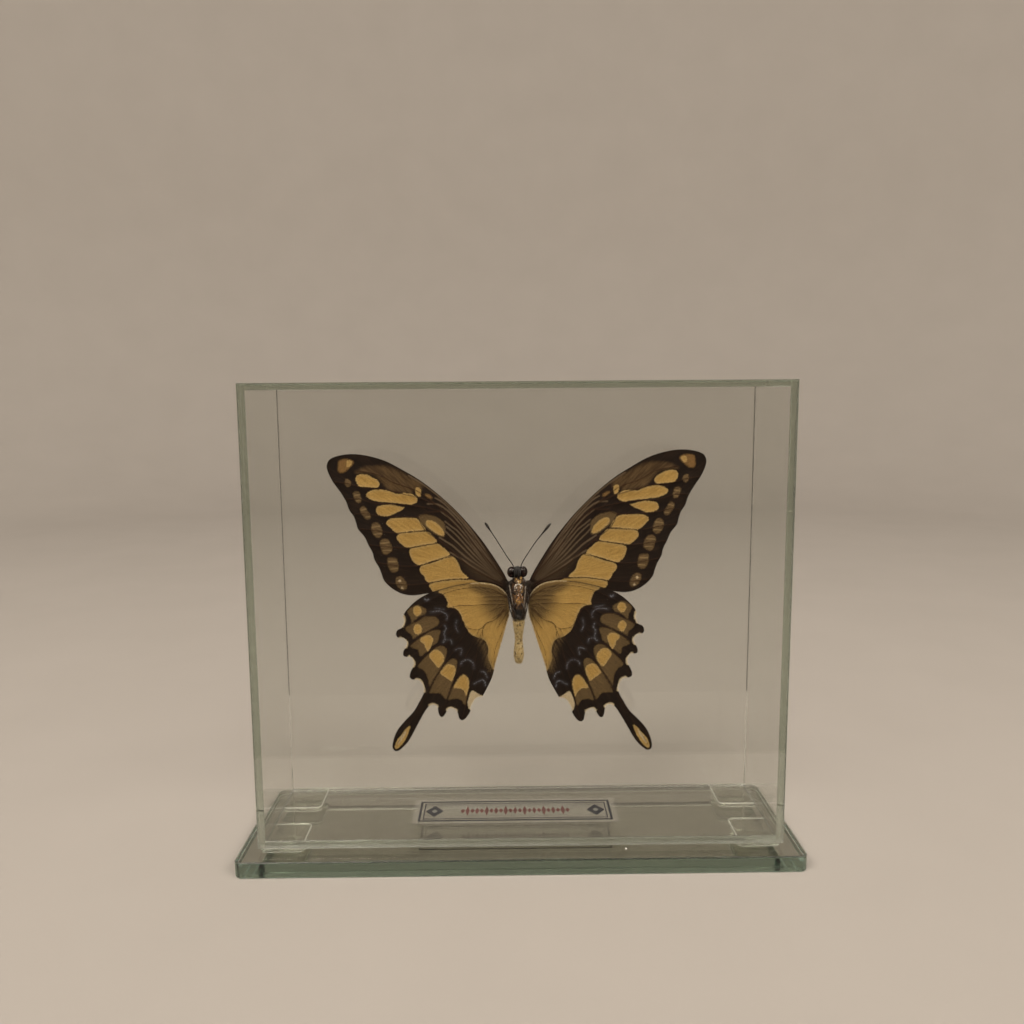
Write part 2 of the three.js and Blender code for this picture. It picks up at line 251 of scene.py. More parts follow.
def wing_scales():
    """Wing membrane under overlapping dust-fine scales: matt, with each colour built from whole scales,
    so the edges of the spots are slightly ragged and every field has a lengthwise grain."""
    material, node, place = start("overlapping_wing_scales")
    field = {name: node("Attribute", output="Fac", attribute_name=name) for name in WING_FIELDS}
    # Real scales are 0.1 mm wide. They are drawn about 0.3 mm wide, as fine as shows from arm's length.
    grain = node("TexNoise", blotches(place, 0.3))
    cloud = node("TexNoise", blotches(place, 3.5, 3))
    ragged = node("MapRange", (grain, 0.25, 0.75, -0.16, 0.16), **SMOOTH)
    # The fibres run outwards from the root, 0.4 mm apart and about 6 mm long.
    across = node("Math", (field["fan"], 2.6), operation="MULTIPLY")
    outwards = node("Math", (field["reach"], 0.16), operation="MULTIPLY")
    fibre = node("TexNoise", {
        "Vector": node("CombineXYZ", (across, outwards)), "Scale": 1, "Detail": 2,
    })

    def share(name, low, high, to_low=0.0, to_high=1.0, torn=1.0):
        """A share that changes where a field goes from low to high, along an edge torn by whole scales."""
        edge = node("Math", (ragged, torn, field[name]), operation="MULTIPLY_ADD")
        return node("MapRange", (edge, low, high, to_low, to_high), **SMOOTH)

    def scales(dark, light, low=None, high=None, weave=fibre):
        """A coat of scales, dark and light by turns along the wing."""
        turns = weave if low is None else node("MapRange", (weave, low, high), **SMOOTH)
        return node("Mix", {0: turns, 6: dark, 7: light}, **COLOURS)

    vein_and_hair_shadow = share("vein_and_hair_shadow", 0.06, 0.2, 1, 0, torn=0.4)
    grey = share("grey", -0.3, 0.3)
    pale_lines = node("Mix", {0: grey, 6: scales("#4f4131", "#6b5b48"), 7: "#87734f"}, **COLOURS)
    yellow = scales("#997a42", "#ac8d51", 0.3, 0.7)
    for amount, coat in (
        (node("MapRange", (cloud, 0.35, 0.7, 0, 0.5), **SMOOTH), "#a3844a"),
        (share("yellow", 0.1, 0.9, 0.3, 0, torn=0), "#ae9c71"),
    ):
        yellow = node("Mix", {0: amount, 6: yellow, 7: coat}, **COLOURS)
    crescent = node("MapRange", (grain, 0.3, 0.6, 0.15, 0.65), **SMOOTH)

    # The coats lie over each other in this order. Where two shares are given, both have to hold.
    colour = scales("#18110c", "#1f1710", weave=cloud)
    for first, second, coat in (
        (node("MapRange", (fibre, 0.45, 0.75), **SMOOTH), 1, "#271c14"),
        (field["brown"], 0.12, "#3a281a"),
        (share("streaks", -1.2, 1.2), share("reach", 6, 24, 0.55, 0, torn=0), scales("#35291d", "#54452f")),
        (share("olive", -0.3, 0.3), 1, scales("#4f402a", "#685538")),
        (share("dusky", -0.8, 0.8), 0.9, scales("#3f2f1d", "#5c4930", 0.3, 0.65)),
        (grey, 0.9, scales("#54432d", "#6c583b", 0.3, 0.7)),
        (share("stripe", 0.06, 0.3, 1, 0, torn=0.5), share("reach", 4, 15, 0.3, 0.92, torn=0), pale_lines),
        (share("blue", -1, 0.05, 0, 0.2, torn=0), 1, "#55545a"),
        (share("blue", -0.14, 0.14), crescent, "#80828a"),
        (share("orange", -0.4, 0.4), 1, scales("#664c2d", "#86683e")),
        (share("yellow", -0.14, 0.14), 1, yellow),
        # Dusky scales round the hindwing's root and inner fold, and a painted shadow band just under its
        # front edge.
        (share("dusk_and_shadow_band", -1.6, 1.6, torn=5), 0.9, scales("#35291a", "#625034", 0.35, 0.65)),
        (share("cream", -0.2, 0.2), 1, scales("#a4926f", "#c0b295")),
        # Dark lines on the veins, and on the hindwing the painted shadows of the hair at its root.
        (vein_and_hair_shadow, 0.75, "#332012"),
        (share("rim", 0.1, 0.4, 0.5, 0, torn=0), share("cream", -0.3, 0.1, 1, 0, torn=0), "#1c130c"),
    ):
        amount = node("Math", (first, second), operation="MULTIPLY")
        colour = node("Mix", {0: amount, 6: colour, 7: coat}, **COLOURS)
    rows = scales("#a4a4a4", "#ffffff", 0.3, 0.7, weave=grain)
    ridges = node("Bump", {"Height": grain, "Strength": 0.5, "Distance": 0.00006})
    surface = node("BsdfPrincipled", {
        "Base Color": node("Mix", {0: 0.45, 6: colour, 7: rows}, blend_type="MULTIPLY", **COLOURS),
        "Roughness": node("MapRange", (grain, 0.3, 0.7, 0.62, 0.85), **SMOOTH), "Specular IOR Level": 0.1,
        "Normal": node("Bump", {"Height": vein_and_hair_shadow, "Strength": 0.7, "Distance": 0.0001, "Normal": ridges}),
    })
    node("OutputMaterial", {"Surface": surface})
    return material


def fringe_scales():
    """Hair-like scales that fringe the wing: straw-white in the notches, sooty on the teeth."""
    material, node, place = start("fringe_hair_scales")
    pale = node("Attribute", output="Fac", attribute_name="pale")
    grain = node("TexNoise", blotches(place, 0.2))
    sooty = node("Mix", {0: grain, 6: "#1a120d", 7: "#261b14"}, **COLOURS)
    straw = node("Mix", {0: grain, 6: "#b9aa8c", 7: "#cbc1ab"}, **COLOURS)
    surface = node("BsdfPrincipled", {
        "Base Color": node("Mix", {0: pale, 6: sooty, 7: straw}, **COLOURS), "Roughness": 0.7,
    })
    node("OutputMaterial", {"Surface": surface})
    return material


def body_scales():
    """Dry chitin under scales and down: umber thorax with a golden-brown glue stain down its middle,
    streaked with painted shine, and a sooty waist, and a straw-yellow abdomen with dark specks."""
    material, node, place = start("scaled_and_downy_chitin")
    height = node("SeparateXYZ", (place,), "Z")
    side = node("Math", (node("SeparateXYZ", (place,), "X"),), operation="ABSOLUTE")
    grain = node("TexNoise", blotches(place, 0.25))

    def by_height(low, high, to_low=0.0, to_high=1.0):
        """A share that changes between two heights above the specimen's origin, in millimetres."""
        ends = ((SPECIMEN_HEIGHT + low) * MM, (SPECIMEN_HEIGHT + high) * MM)
        return node("MapRange", (height, *ends, to_low, to_high), **SMOOTH)

    # The glue's stain and its painted shine run in streaks drawn out upwards: a third of a millimetre wide
    # and 1.4 mm long.
    drawn = node("VectorMath", (place, (3000, 3000, 700)), operation="MULTIPLY")
    streaks = node("TexNoise", {"Vector": drawn, "Scale": 1, "Detail": 2})
    coats = {}
    for name, weave, low, high, dark, light in (
        ("thorax", node("TexNoise", blotches(place, 1.1)), 0.35, 0.65, "#23160d", "#6e4d2a"),
        ("glue_stain_and_shine", streaks, 0.4, 0.62, "#2e1a0d", "#c49a50"),
        ("straw", node("TexNoise", blotches(place, 0.9)), 0.3, 0.7, "#a3894f", "#c2b083"),
    ):
        turns = node("MapRange", (weave, low, high), **SMOOTH)
        coats[name] = node("Mix", {0: turns, 6: dark, 7: light}, **COLOURS)
    specks = node("MapRange", (node("TexNoise", blotches(place, 0.8, 1)), 0.55, 0.66, 0, 0.85), **SMOOTH)
    abdomen = node("Mix", {0: specks, 6: coats["straw"], 7: "#3d2a16"}, **COLOURS)
    middle = node("MapRange", (side, 0.6 * MM, 1.6 * MM, 0.9, 0), **SMOOTH)
    flank = node("MapRange", (side, 1.2 * MM, 1.9 * MM, 1, 0.35), **SMOOTH)
    colour = coats["thorax"]
    for first, second, coat in (
        # The golden-brown glue stain down the middle of the chest, with painted shine in its streaks.
        (middle, by_height(1.5, 3.5), coats["glue_stain_and_shine"]),
        (flank, by_height(-0.5, 2, 0.95, 0), "#060403"),
        (by_height(-2.6, -4.2), 1, abdomen),
    ):
        amount = node("Math", (first, second), operation="MULTIPLY")
        colour = node("Mix", {0: amount, 6: colour, 7: coat}, **COLOURS)
    rows = node("Mix", {0: grain, 6: "#808080", 7: "#ffffff"}, **COLOURS)
    surface = node("BsdfPrincipled", {
        "Base Color": node("Mix", {0: 0.35, 6: colour, 7: rows}, blend_type="MULTIPLY", **COLOURS),
        "Roughness": 0.6, "Normal": node("Bump", {"Height": grain, "Strength": 0.8, "Distance": 0.00012}),
    })
    node("OutputMaterial", {"Surface": surface})
    return material


def insect_hair(name, dark, light):
    """Fine insect hair, patchily dark and light, with the faint gloss of dry chitin."""
    material, node, place = start(name)
    patches = node("MapRange", (node("TexNoise", blotches(place, 0.6)), 0.3, 0.7), **SMOOTH)
    surface = node("BsdfPrincipled", {
        "Base Color": node("Mix", {0: patches, 6: dark, 7: light}, **COLOURS),
        "Roughness": 0.6, "Specular IOR Level": 0.3,
    })
    node("OutputMaterial", {"Surface": surface})
    return material


def bare_chitin(name, dark, light, gloss):
    """Bare chitin of eyes, legs and feelers: hard and glossy, with a fine pebbled grain."""
    material, node, place = start(name)
    patches = node("MapRange", (node("TexNoise", blotches(place, 0.7)), 0.35, 0.65), **SMOOTH)
    facets = node("TexNoise", blotches(place, 0.12))
    surface = node("BsdfPrincipled", {
        "Base Color": node("Mix", {0: patches, 6: dark, 7: light}, **COLOURS), "Roughness": gloss,
        "Normal": node("Bump", {"Height": facets, "Strength": 0.4, "Distance": 0.00003}),
    })
    node("OutputMaterial", {"Surface": surface})
    return material


# ---------------------------------------------------------------- helpers for shapes

def as_object(name, bm, materials, smooth):
    """Turns a bmesh in millimetres into an object in metres."""
    bmesh.ops.scale(bm, vec=(MM, MM, MM), verts=bm.verts)
    mesh = bpy.data.meshes.new(name)
    bm.to_mesh(mesh)
    bm.free()
    for material in materials:
        mesh.materials.append(material)
    mesh.polygons.foreach_set("use_smooth", [smooth] * len(mesh.polygons))
    made = bpy.data.objects.new(name, mesh)
    scene.collection.objects.link(made)
    return made


def finish_piece(name, bm, materials, node=None, smooth=True, fields=None, clear=False):
    """Makes a bmesh a piece that rides with the display. Light on its way to a matt surface goes straight
    through a clear piece, as it does through thin glass, and casts no shadow."""
    piece = as_object(name, bm, materials, smooth)
    for field, values in (fields or {}).items():
        layer = piece.data.attributes.new(field, "FLOAT", "POINT")
        layer.data.foreach_set("value", values.astype(np.float32))
    piece.visible_shadow = piece.visible_diffuse = not clear
    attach(piece, "root")
    if node:
        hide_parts(node)


def placed(middle, size):
    """The matrix that brings a shape of size 1 to its place and size."""
    return Matrix.Translation(middle) @ Matrix.Diagonal((*size, 1))


def spline(points, steps, closed=False):
    """Points on a smooth curve through the given ones, steps to a span."""
    count = len(points)
    spans = count if closed else count - 1
    line = []
    for i in range(spans):
        near = [j % count if closed else min(max(j, 0), count - 1) for j in range(i - 1, i + 3)]
        before, first, second, after = (np.array(points[j], float) for j in near)
        for k in range(steps):
            t = k / steps
            line.append(0.5 * (
                2 * first + (second - before) * t + (2 * before - 5 * first + 4 * second - after) * t ** 2
                + (3 * first - before - 3 * second + after) * t ** 3
            ))
    if not closed:
        line.append(np.array(points[-1], float))
    return line


def box_shape(bm, low, high):
    """A closed box between two corners."""
    bmesh.ops.create_cube(bm, size=1, matrix=placed((low + high) / 2, high - low))


def bevel_edges(bm, edges, width, segments):
    """Rounds edges, or breaks them with one flat strip when there is one segment."""
    bmesh.ops.bevel(bm, geom=edges, offset=width, offset_type="OFFSET", segments=segments, profile=0.5,
                    affect="EDGES", material=-1)


def rounded_plate(bm, low, high, corner, edge, steps=3):
    """A plate with round vertical corners and softened top and bottom edges."""
    box_shape(bm, low, high)
    upright = [e for e in bm.edges if abs((e.verts[0].co - e.verts[1].co).normalized().z) > 0.9]
    bevel_edges(bm, upright, corner, 6)
    if edge:
        level = [e for e in bm.edges
                 if abs(e.verts[0].co.z - e.verts[1].co.z) < 1e-6
                 and any(abs(f.normal.z) > 0.9 for f in e.link_faces)
                 and any(abs(f.normal.z) < 0.1 for f in e.link_faces)]
        bevel_edges(bm, level, edge, steps)
    bmesh.ops.recalc_face_normals(bm, faces=bm.faces)


def sweep(bm, points, radii, sides, slot=0):
    """A round rod through the points with a radius at each, closed at both ends."""
    old = set(bm.faces)
    rings = []
    for i, (point, radius) in enumerate(zip(points, radii)):
        ahead = Vector(points[min(i + 1, len(points) - 1)]) - Vector(points[max(i - 1, 0)])
        turn = ahead.to_track_quat("Z", "Y").to_matrix().to_4x4()
        place = Matrix.Translation(Vector(point)) @ turn
        made = bmesh.ops.create_circle(bm, segments=sides, radius=radius, matrix=place)
        rings.append(made["verts"])
    for first, second in zip(rings, rings[1:]):
        edges = {e for v in first + second for e in v.link_edges if not e.link_faces or e.is_boundary}
        edges = [e for e in edges if set(e.verts) <= set(first) or set(e.verts) <= set(second)]
        bmesh.ops.bridge_loops(bm, edges=edges)
    for ring in (rings[0], rings[-1]):
        bmesh.ops.contextual_create(bm, geom=ring)
    for face in bm.faces:
        if face not in old:
            face.material_index = slot


def spun(bm, profile, segments, squash=(1, 1, 1)):
    """A turned shape from (radius, height) points. It is closed where they start and end on the axis Z."""
    verts = [bm.verts.new((radius, 0, height)) for radius, height in profile]
    edges = [bm.edges.new(pair) for pair in zip(verts, verts[1:])]
    bmesh.ops.spin(bm, geom=verts + edges, axis=Z, cent=(0, 0, 0), steps=segments, angle=math.tau,
                   use_merge=True)
    bmesh.ops.remove_doubles(bm, verts=bm.verts, dist=1e-4)
    bmesh.ops.scale(bm, vec=squash, verts=bm.verts)
    bmesh.ops.recalc_face_normals(bm, faces=bm.faces)


def hair_coat(name, hairs, material, fields=None):
    """One mesh of many tapering three-sided hairs, each given as (root, tip, radius)."""
    template = bmesh.new()
    for height, thick, thin in ((0.25, 1, 0.45), (0.75, 0.45, 0.02)):
        bmesh.ops.create_cone(template, cap_ends=False, segments=3, radius1=thick, radius2=thin, depth=0.5,
                              matrix=Matrix.Translation((0, 0, height)))
    bmesh.ops.remove_doubles(template, verts=template.verts, dist=1e-3)
    template.verts.ensure_lookup_table()
    shape = np.array([v.co for v in template.verts])
    corners = [[v.index for v in face.verts] for face in template.faces]
    template.free()
    coords, faces = [], []
    for root, tip, radius in hairs:
        root, tip = Vector(root), Vector(tip)
        along = tip - root
        turn = np.array(along.to_track_quat("Z", "Y").to_matrix())
        local = shape * (radius, radius, along.length)
        base = len(coords) * len(shape)
        coords.append(local @ turn.T + np.array(root))
        faces += [[base + i for i in face] for face in corners]
    mesh = bpy.data.meshes.new(name + "_coat")
    mesh.from_pydata(np.concatenate(coords).tolist(), [], faces)
    bm = bmesh.new()
    bm.from_mesh(mesh)
    bpy.data.meshes.remove(mesh)
    fields = {key: np.repeat(values, len(shape)) for key, values in (fields or {}).items()}
    finish_piece(name, bm, [material], fields=fields)


# ---------------------------------------------------------------- case, base and label

BASE_CORNER, BASE_EDGE = 2.5, 0.4
POLISHED, ARRISED = 0.4, 1.6      # how matt the walls of the base and its softened edges are


def mirror_base():
    """The mirror plate: clear glass all round, with the silver and its lacquer on the underside."""
    bm = bmesh.new()
    low, high = cad_box("mirror_base")
    rounded_plate(bm, low, high, BASE_CORNER, BASE_EDGE)
    ground = bm.faces.layers.float.new("ground")
    for face in bm.faces:
        if face.normal.z < -0.99:
            face.material_index = 1
        elif abs(face.normal.z) < 0.99:
            face[ground] = POLISHED if abs(face.normal.z) < 0.1 else ARRISED
    finish_piece("mirror_base_glass", bm, [
        float_glass("float_mirror_glass", "#ffffff", "#70f2e0", 10, 0.012),
        mirror_back(),
    ], "mirror_base", smooth=False)


PANE_EDGE = 0.12      # width of the ground corners of each pane


def pane(node, glass):
    """One glued pane. Its corners are broken with a stone, and those strips stay matt."""
    bm = bmesh.new()
    low, high = cad_box(node)
    box_shape(bm, low, high)
    thin = min(range(3), key=lambda axis: high[axis] - low[axis])
    across = [e for e in bm.edges if abs((e.verts[0].co - e.verts[1].co)[thin]) < 1e-6]
    bevel_edges(bm, across, PANE_EDGE, 1)
    bmesh.ops.recalc_face_normals(bm, faces=bm.faces)
    ground = bm.faces.layers.float.new("ground")
    for face in bm.faces:
        # The bottom pane's edges and the feet of the upright panes are left as they were cut.
        if node == "pane_bottom":
            cut = abs(face.normal.z) < 0.1
        else:
            cut = node != "pane_top" and face.normal.z < -0.9
        face[ground] = float(cut or max(abs(c) for c in face.normal) < 0.99)
    finish_piece(node + "_glass", bm, [glass], node, smooth=False, clear=True)


PAD_CORNER, PAD_EDGE = 2, 0.34
PAD_RIM = 1.2         # the rim that gives way under the weight


def pad(node, gel, seed):
    """A soft clear foot, pressed a little out of shape by the weight of the case."""
    bm = bmesh.new()
    low, high = cad_box(node)
    rounded_plate(bm, low, high, PAD_CORNER, PAD_EDGE, 2)
    flat = [f for f in bm.faces if abs(f.normal.z) > 0.99]
    bmesh.ops.inset_region(bm, faces=flat, thickness=PAD_RIM)
    middle = (low + high) / 2
    for vert in bm.verts:
        out = (vert.co - middle) * Vector((1, 1, 0))
        waist = 1 - abs(vert.co.z - middle.z) / (high.z - low.z) * 2
        wave = noise.noise(Vector((vert.co.x * 0.22, vert.co.y * 0.22, seed)))
        if waist > 0.1 and out.length > 4:
            vert.co -= out.normalized() * (0.12 + 0.5 * abs(wave)) * (0.4 + waist) * 0.6
    # The rounded rims are marked for the gel's milky, painted highlight.
    rim = bm.faces.layers.float.new("ground")
    for face in bm.faces:
        face[rim] = float(0.05 < abs(face.normal.z) < 0.97)
    finish_piece(node + "_gel", bm, [gel], node, clear=True)


# The printed face, measured from its middle. The film lies on the bottom pane inside the case and is read
# from the far side.
PRINT_LENGTH, PRINT_DEPTH = 62.2, 13.5
FILM_CORNER = 0.8
OUTER_LINE, INNER_LINE = 0.7, 0.35
INNER_RULE = 2.9                                # how much smaller the inner ruled frame is than the outer
END_ORNAMENT, END_WIDE, END_HIGH = 26.2, 5.8, 7.4
LOZENGES, LOZENGE_PITCH, LOZENGE_WIDE = 23, 1.55, 1.45
INK_THICKNESS = 0.015


def flat_frame(bm, length, depth, line):
    """A ruled rectangle as four printed strokes with mitred corners, from one inset face."""
    made = bmesh.ops.create_grid(bm, x_segments=1, y_segments=1, size=0.5,
                                 matrix=placed((0, 0, 0), (length, depth, 1)))
    outer = list({f for v in made["verts"] for f in v.link_faces})
    bmesh.ops.inset_region(bm, faces=outer, thickness=line, use_boundary=True, use_even_offset=True)
    bmesh.ops.delete(bm, geom=outer, context="FACES_ONLY")


def lozenge(bm, x, wide, high, z, slot):
    """A printed lozenge on the middle line of the film."""
    made = bmesh.ops.create_circle(bm, cap_ends=True, radius=1, segments=4,
                                   matrix=placed((x, 0, z), (wide / 2, high / 2, 1)))
    for face in {f for v in made["verts"] for f in v.link_faces}:
        face.material_index = slot


def label():
    """The name card: clear film with a ruled blue border and plain ornaments, without lettering."""
    low, high = cad_box("label")
    bm = bmesh.new()
    rounded_plate(bm, low, high, FILM_CORNER, 0)
    finish_piece("label_film", bm, [clear_film()], "label", smooth=False, clear=True)
    bm = bmesh.new()
    place = Vector(((low.x + high.x) / 2, (low.y + high.y) / 2, high.z + 0.05))
    flat_frame(bm, PRINT_LENGTH, PRINT_DEPTH, OUTER_LINE)
    flat_frame(bm, PRINT_LENGTH - INNER_RULE, PRINT_DEPTH - INNER_RULE, INNER_LINE)
    navy, red, grey = range(3)
    for side in (-1, 1):
        lozenge(bm, side * END_ORNAMENT, END_WIDE, END_HIGH, 0, navy)
        lozenge(bm, side * END_ORNAMENT, 2, 2.6, 0.004, grey)
    for i in range(LOZENGES):
        tall = 6.4 if i % 4 == 1 else 4.6 if i % 2 else 3
        lozenge(bm, (i - (LOZENGES - 1) / 2) * LOZENGE_PITCH, LOZENGE_WIDE, tall, 0, red)
    bmesh.ops.solidify(bm, geom=bm.faces, thickness=INK_THICKNESS)
    bmesh.ops.translate(bm, vec=place, verts=bm.verts)
    finish_piece("label_print", bm, [
        printing_ink("navy_inkjet_ink", "#121824", "#1e2531"),
        printing_ink("red_inkjet_ink", "#642d29", "#723f3a"),
        printing_ink("grey_inkjet_ink", "#7d8078", "#8a8d85"),
    ], smooth=False)


# The glue rod from the near pane to the chest: (share of the CAD rod's radius, distance from the pane).
GLUE_WAIST = [
    (0.56, 0), (0.55, 0.15), (0.46, 0.7), (0.4, 1.8), (0.36, 3.6), (0.35, 6.4), (0.38, 9.6), (0.48, 11.8),
]
GLUE_POOL = (-0.1, -3.55, 5.9), (1.1, 0.8, 3.6)      # its middle, from the specimen's origin, and half sizes


def glue_post():
    """The glue that holds the butterfly to the near pane: flared where it wets the glass and the body."""
    low, high = cad_box("glue_post")
    length = high.y - low.y
    radius = (high.x - low.x) / 2
    wetting = [(0.6, length - 0.6), (0.66, length - 0.1), (0.62, length)]
    profile = [(0, 0)] + [(share * radius, away) for share, away in GLUE_WAIST + wetting] + [(0, length)]
    bm = bmesh.new()
    spun(bm, profile, 40)
    for vert in bm.verts:
        swell = 1 + 0.1 * noise.noise(Vector((vert.co.x * 0.4, vert.co.y * 0.4, vert.co.z * 0.35)))
        if 0.05 < vert.co.z < length - 0.05:
            vert.co.x *= swell
            vert.co.y *= swell
    turn = Matrix.Rotation(math.radians(-90), 4, "X")
    middle = Vector(((low.x + high.x) / 2, low.y, (low.z + high.z) / 2))
    bmesh.ops.transform(bm, matrix=Matrix.Translation(middle) @ turn, verts=bm.verts)
    bmesh.ops.recalc_face_normals(bm, faces=bm.faces)
    glue = amber_glue()
    finish_piece("glue_post_clear", bm, [glue], "glue_post", clear=True)
    bm = bmesh.new()
    pool, size = Vector(GLUE_POOL[0]) + Z * SPECIMEN_HEIGHT, GLUE_POOL[1]
    bmesh.ops.create_icosphere(bm, subdivisions=4, radius=1, matrix=placed(pool, size))
    for vert in bm.verts:
        vert.co += (vert.co - pool) * 0.08 * noise.noise(vert.co * 0.9)
    bmesh.ops.recalc_face_normals(bm, faces=bm.faces)
    finish_piece("glue_pool", bm, [glue], clear=True)


DUST_PLACE, DUST_RADIUS = (32, -19.4, 5.17), 0.3


def dust_crumb():
    """One white crumb of dust that lies on the front of the mirror."""
    bm = bmesh.new()
    flat = placed((0, 0, 0), (1, 1, 0.6))
    bmesh.ops.create_icosphere(bm, subdivisions=2, radius=DUST_RADIUS, matrix=flat)
    for vert in bm.verts:
        vert.co *= 1 + 0.5 * noise.noise(vert.co * 6)
    bmesh.ops.translate(bm, vec=DUST_PLACE, verts=bm.verts)
    finish_piece("dust_crumb", bm, [household_dust()])


# ---------------------------------------------------------------- wings: shapes and markings

# All wing points are (x outward, z up) in millimetres on the right wing seen from -Y, from the specimen's
# origin, which is this high above the table.
SPECIMEN_HEIGHT = 76.2
WING_HINGE = (3, -0.9)                 # x, y
WING_RISE = math.tan(math.radians(2))  # how far the wings lean back as they go out
SHEET = 0.16                           # thickness of a wing with its scales

FOREWING = [
    [
        (2.9, 7.6), (4.3, 10.8), (7.5, 16.3), (11.4, 22.2), (15.9, 27.9), (20, 32.4), (25, 37.1),
        (30.3, 41.3), (35, 44.2), (40, 47), (45, 48.7), (49.8, 49.5), (54.1, 49.3), (57.6, 48.2),
        (58.8, 46.2), (58.5, 44.1), (57.2, 41.2), (54.9, 37.8), (53.2, 34.8), (52.4, 32.2), (51, 30.1),
        (50.3, 27.8), (49.8, 26), (47.9, 23.5), (46.8, 21), (45.6, 18.4), (45.1, 16.2), (43.8, 13.8),
        (43, 11.5), (42.4, 9.6), (40.4, 7.3), (38, 5.7), (35.5, 4.8), (33, 4.6), (30.5, 4.9),
    ],
    [(30.5, 4.9), (24, 5.5), (16, 5.5), (9, 4.6), (5, 3.7), (2.9, 3.2)],
]
HINDWING = [
    [
        (2.9, 2.8), (4, 5.2), (5.6, 6.9), (8, 8.2), (12, 8.9), (16, 8.7), (20, 8.1), (24, 7.1), (28, 5.9),
        (30.6, 4.7), (33, 3.2), (35, 1.4), (36.6, -0.4), (37.3, -1.9),
    ],
    [
        (37.3, -1.9), (36.9, -2.9), (37.2, -4.5), (38, -5.7), (39.3, -6.3), (39.8, -7.8), (39.1, -8.8),
        (37.6, -8.9), (36.4, -10.3), (36.6, -11.7), (37.6, -13.3), (37.8, -14.8), (36.9, -15.3),
        (35.3, -15.4), (34.4, -17.3), (34.8, -18.8), (35.8, -20.8), (36, -22.4), (35, -23.1), (33.4, -23.1),
        (32.2, -24.2), (31.5, -26.2),
    ],
    [
        (31.5, -26.2), (31.9, -28.2), (33.6, -31.3), (35.4, -34.2), (38.3, -37.2), (40.7, -40),
        (42.1, -42.8), (42.8, -45.6), (42.5, -47.1), (41.3, -47.5), (39.5, -46.3), (37.5, -44.1),
        (35.6, -40.9), (34, -38), (32.2, -34.9), (30.6, -32.6), (29, -31.7),
    ],
    [
        (29, -31.7), (27.6, -32.3), (27.3, -34.2), (26.9, -35.7), (26.1, -36.1), (25, -34.9), (24.3, -33.5),
        (23.3, -33), (21.6, -33.7), (20.9, -35.1), (20.6, -36.7), (19.6, -37.4), (18.2, -36.4), (17, -34.4),
        (16.9, -33.2), (16.2, -31.6), (15.2, -30.1), (13.9, -29.4), (12.7, -29.3),
    ],
    [
        (12.7, -29.3), (11.7, -27.5), (10.4, -25.1), (9.2, -22.4), (8.2, -18.6), (6.9, -14.4), (5.2, -9),
        (4.1, -5.2), (3.2, -2.5), (2.9, 0),
    ],
]
# The left wings are turned a little down, and the left hindwing is slightly smaller: (turn, scale across,
# scale up, pivot).
LEFT_SET = {
    "forewing": (math.radians(-0.8), 1, 1, (3, 5)),
    "hindwing": (math.radians(-1.5), 0.985, 0.968, (3, 3)),
}

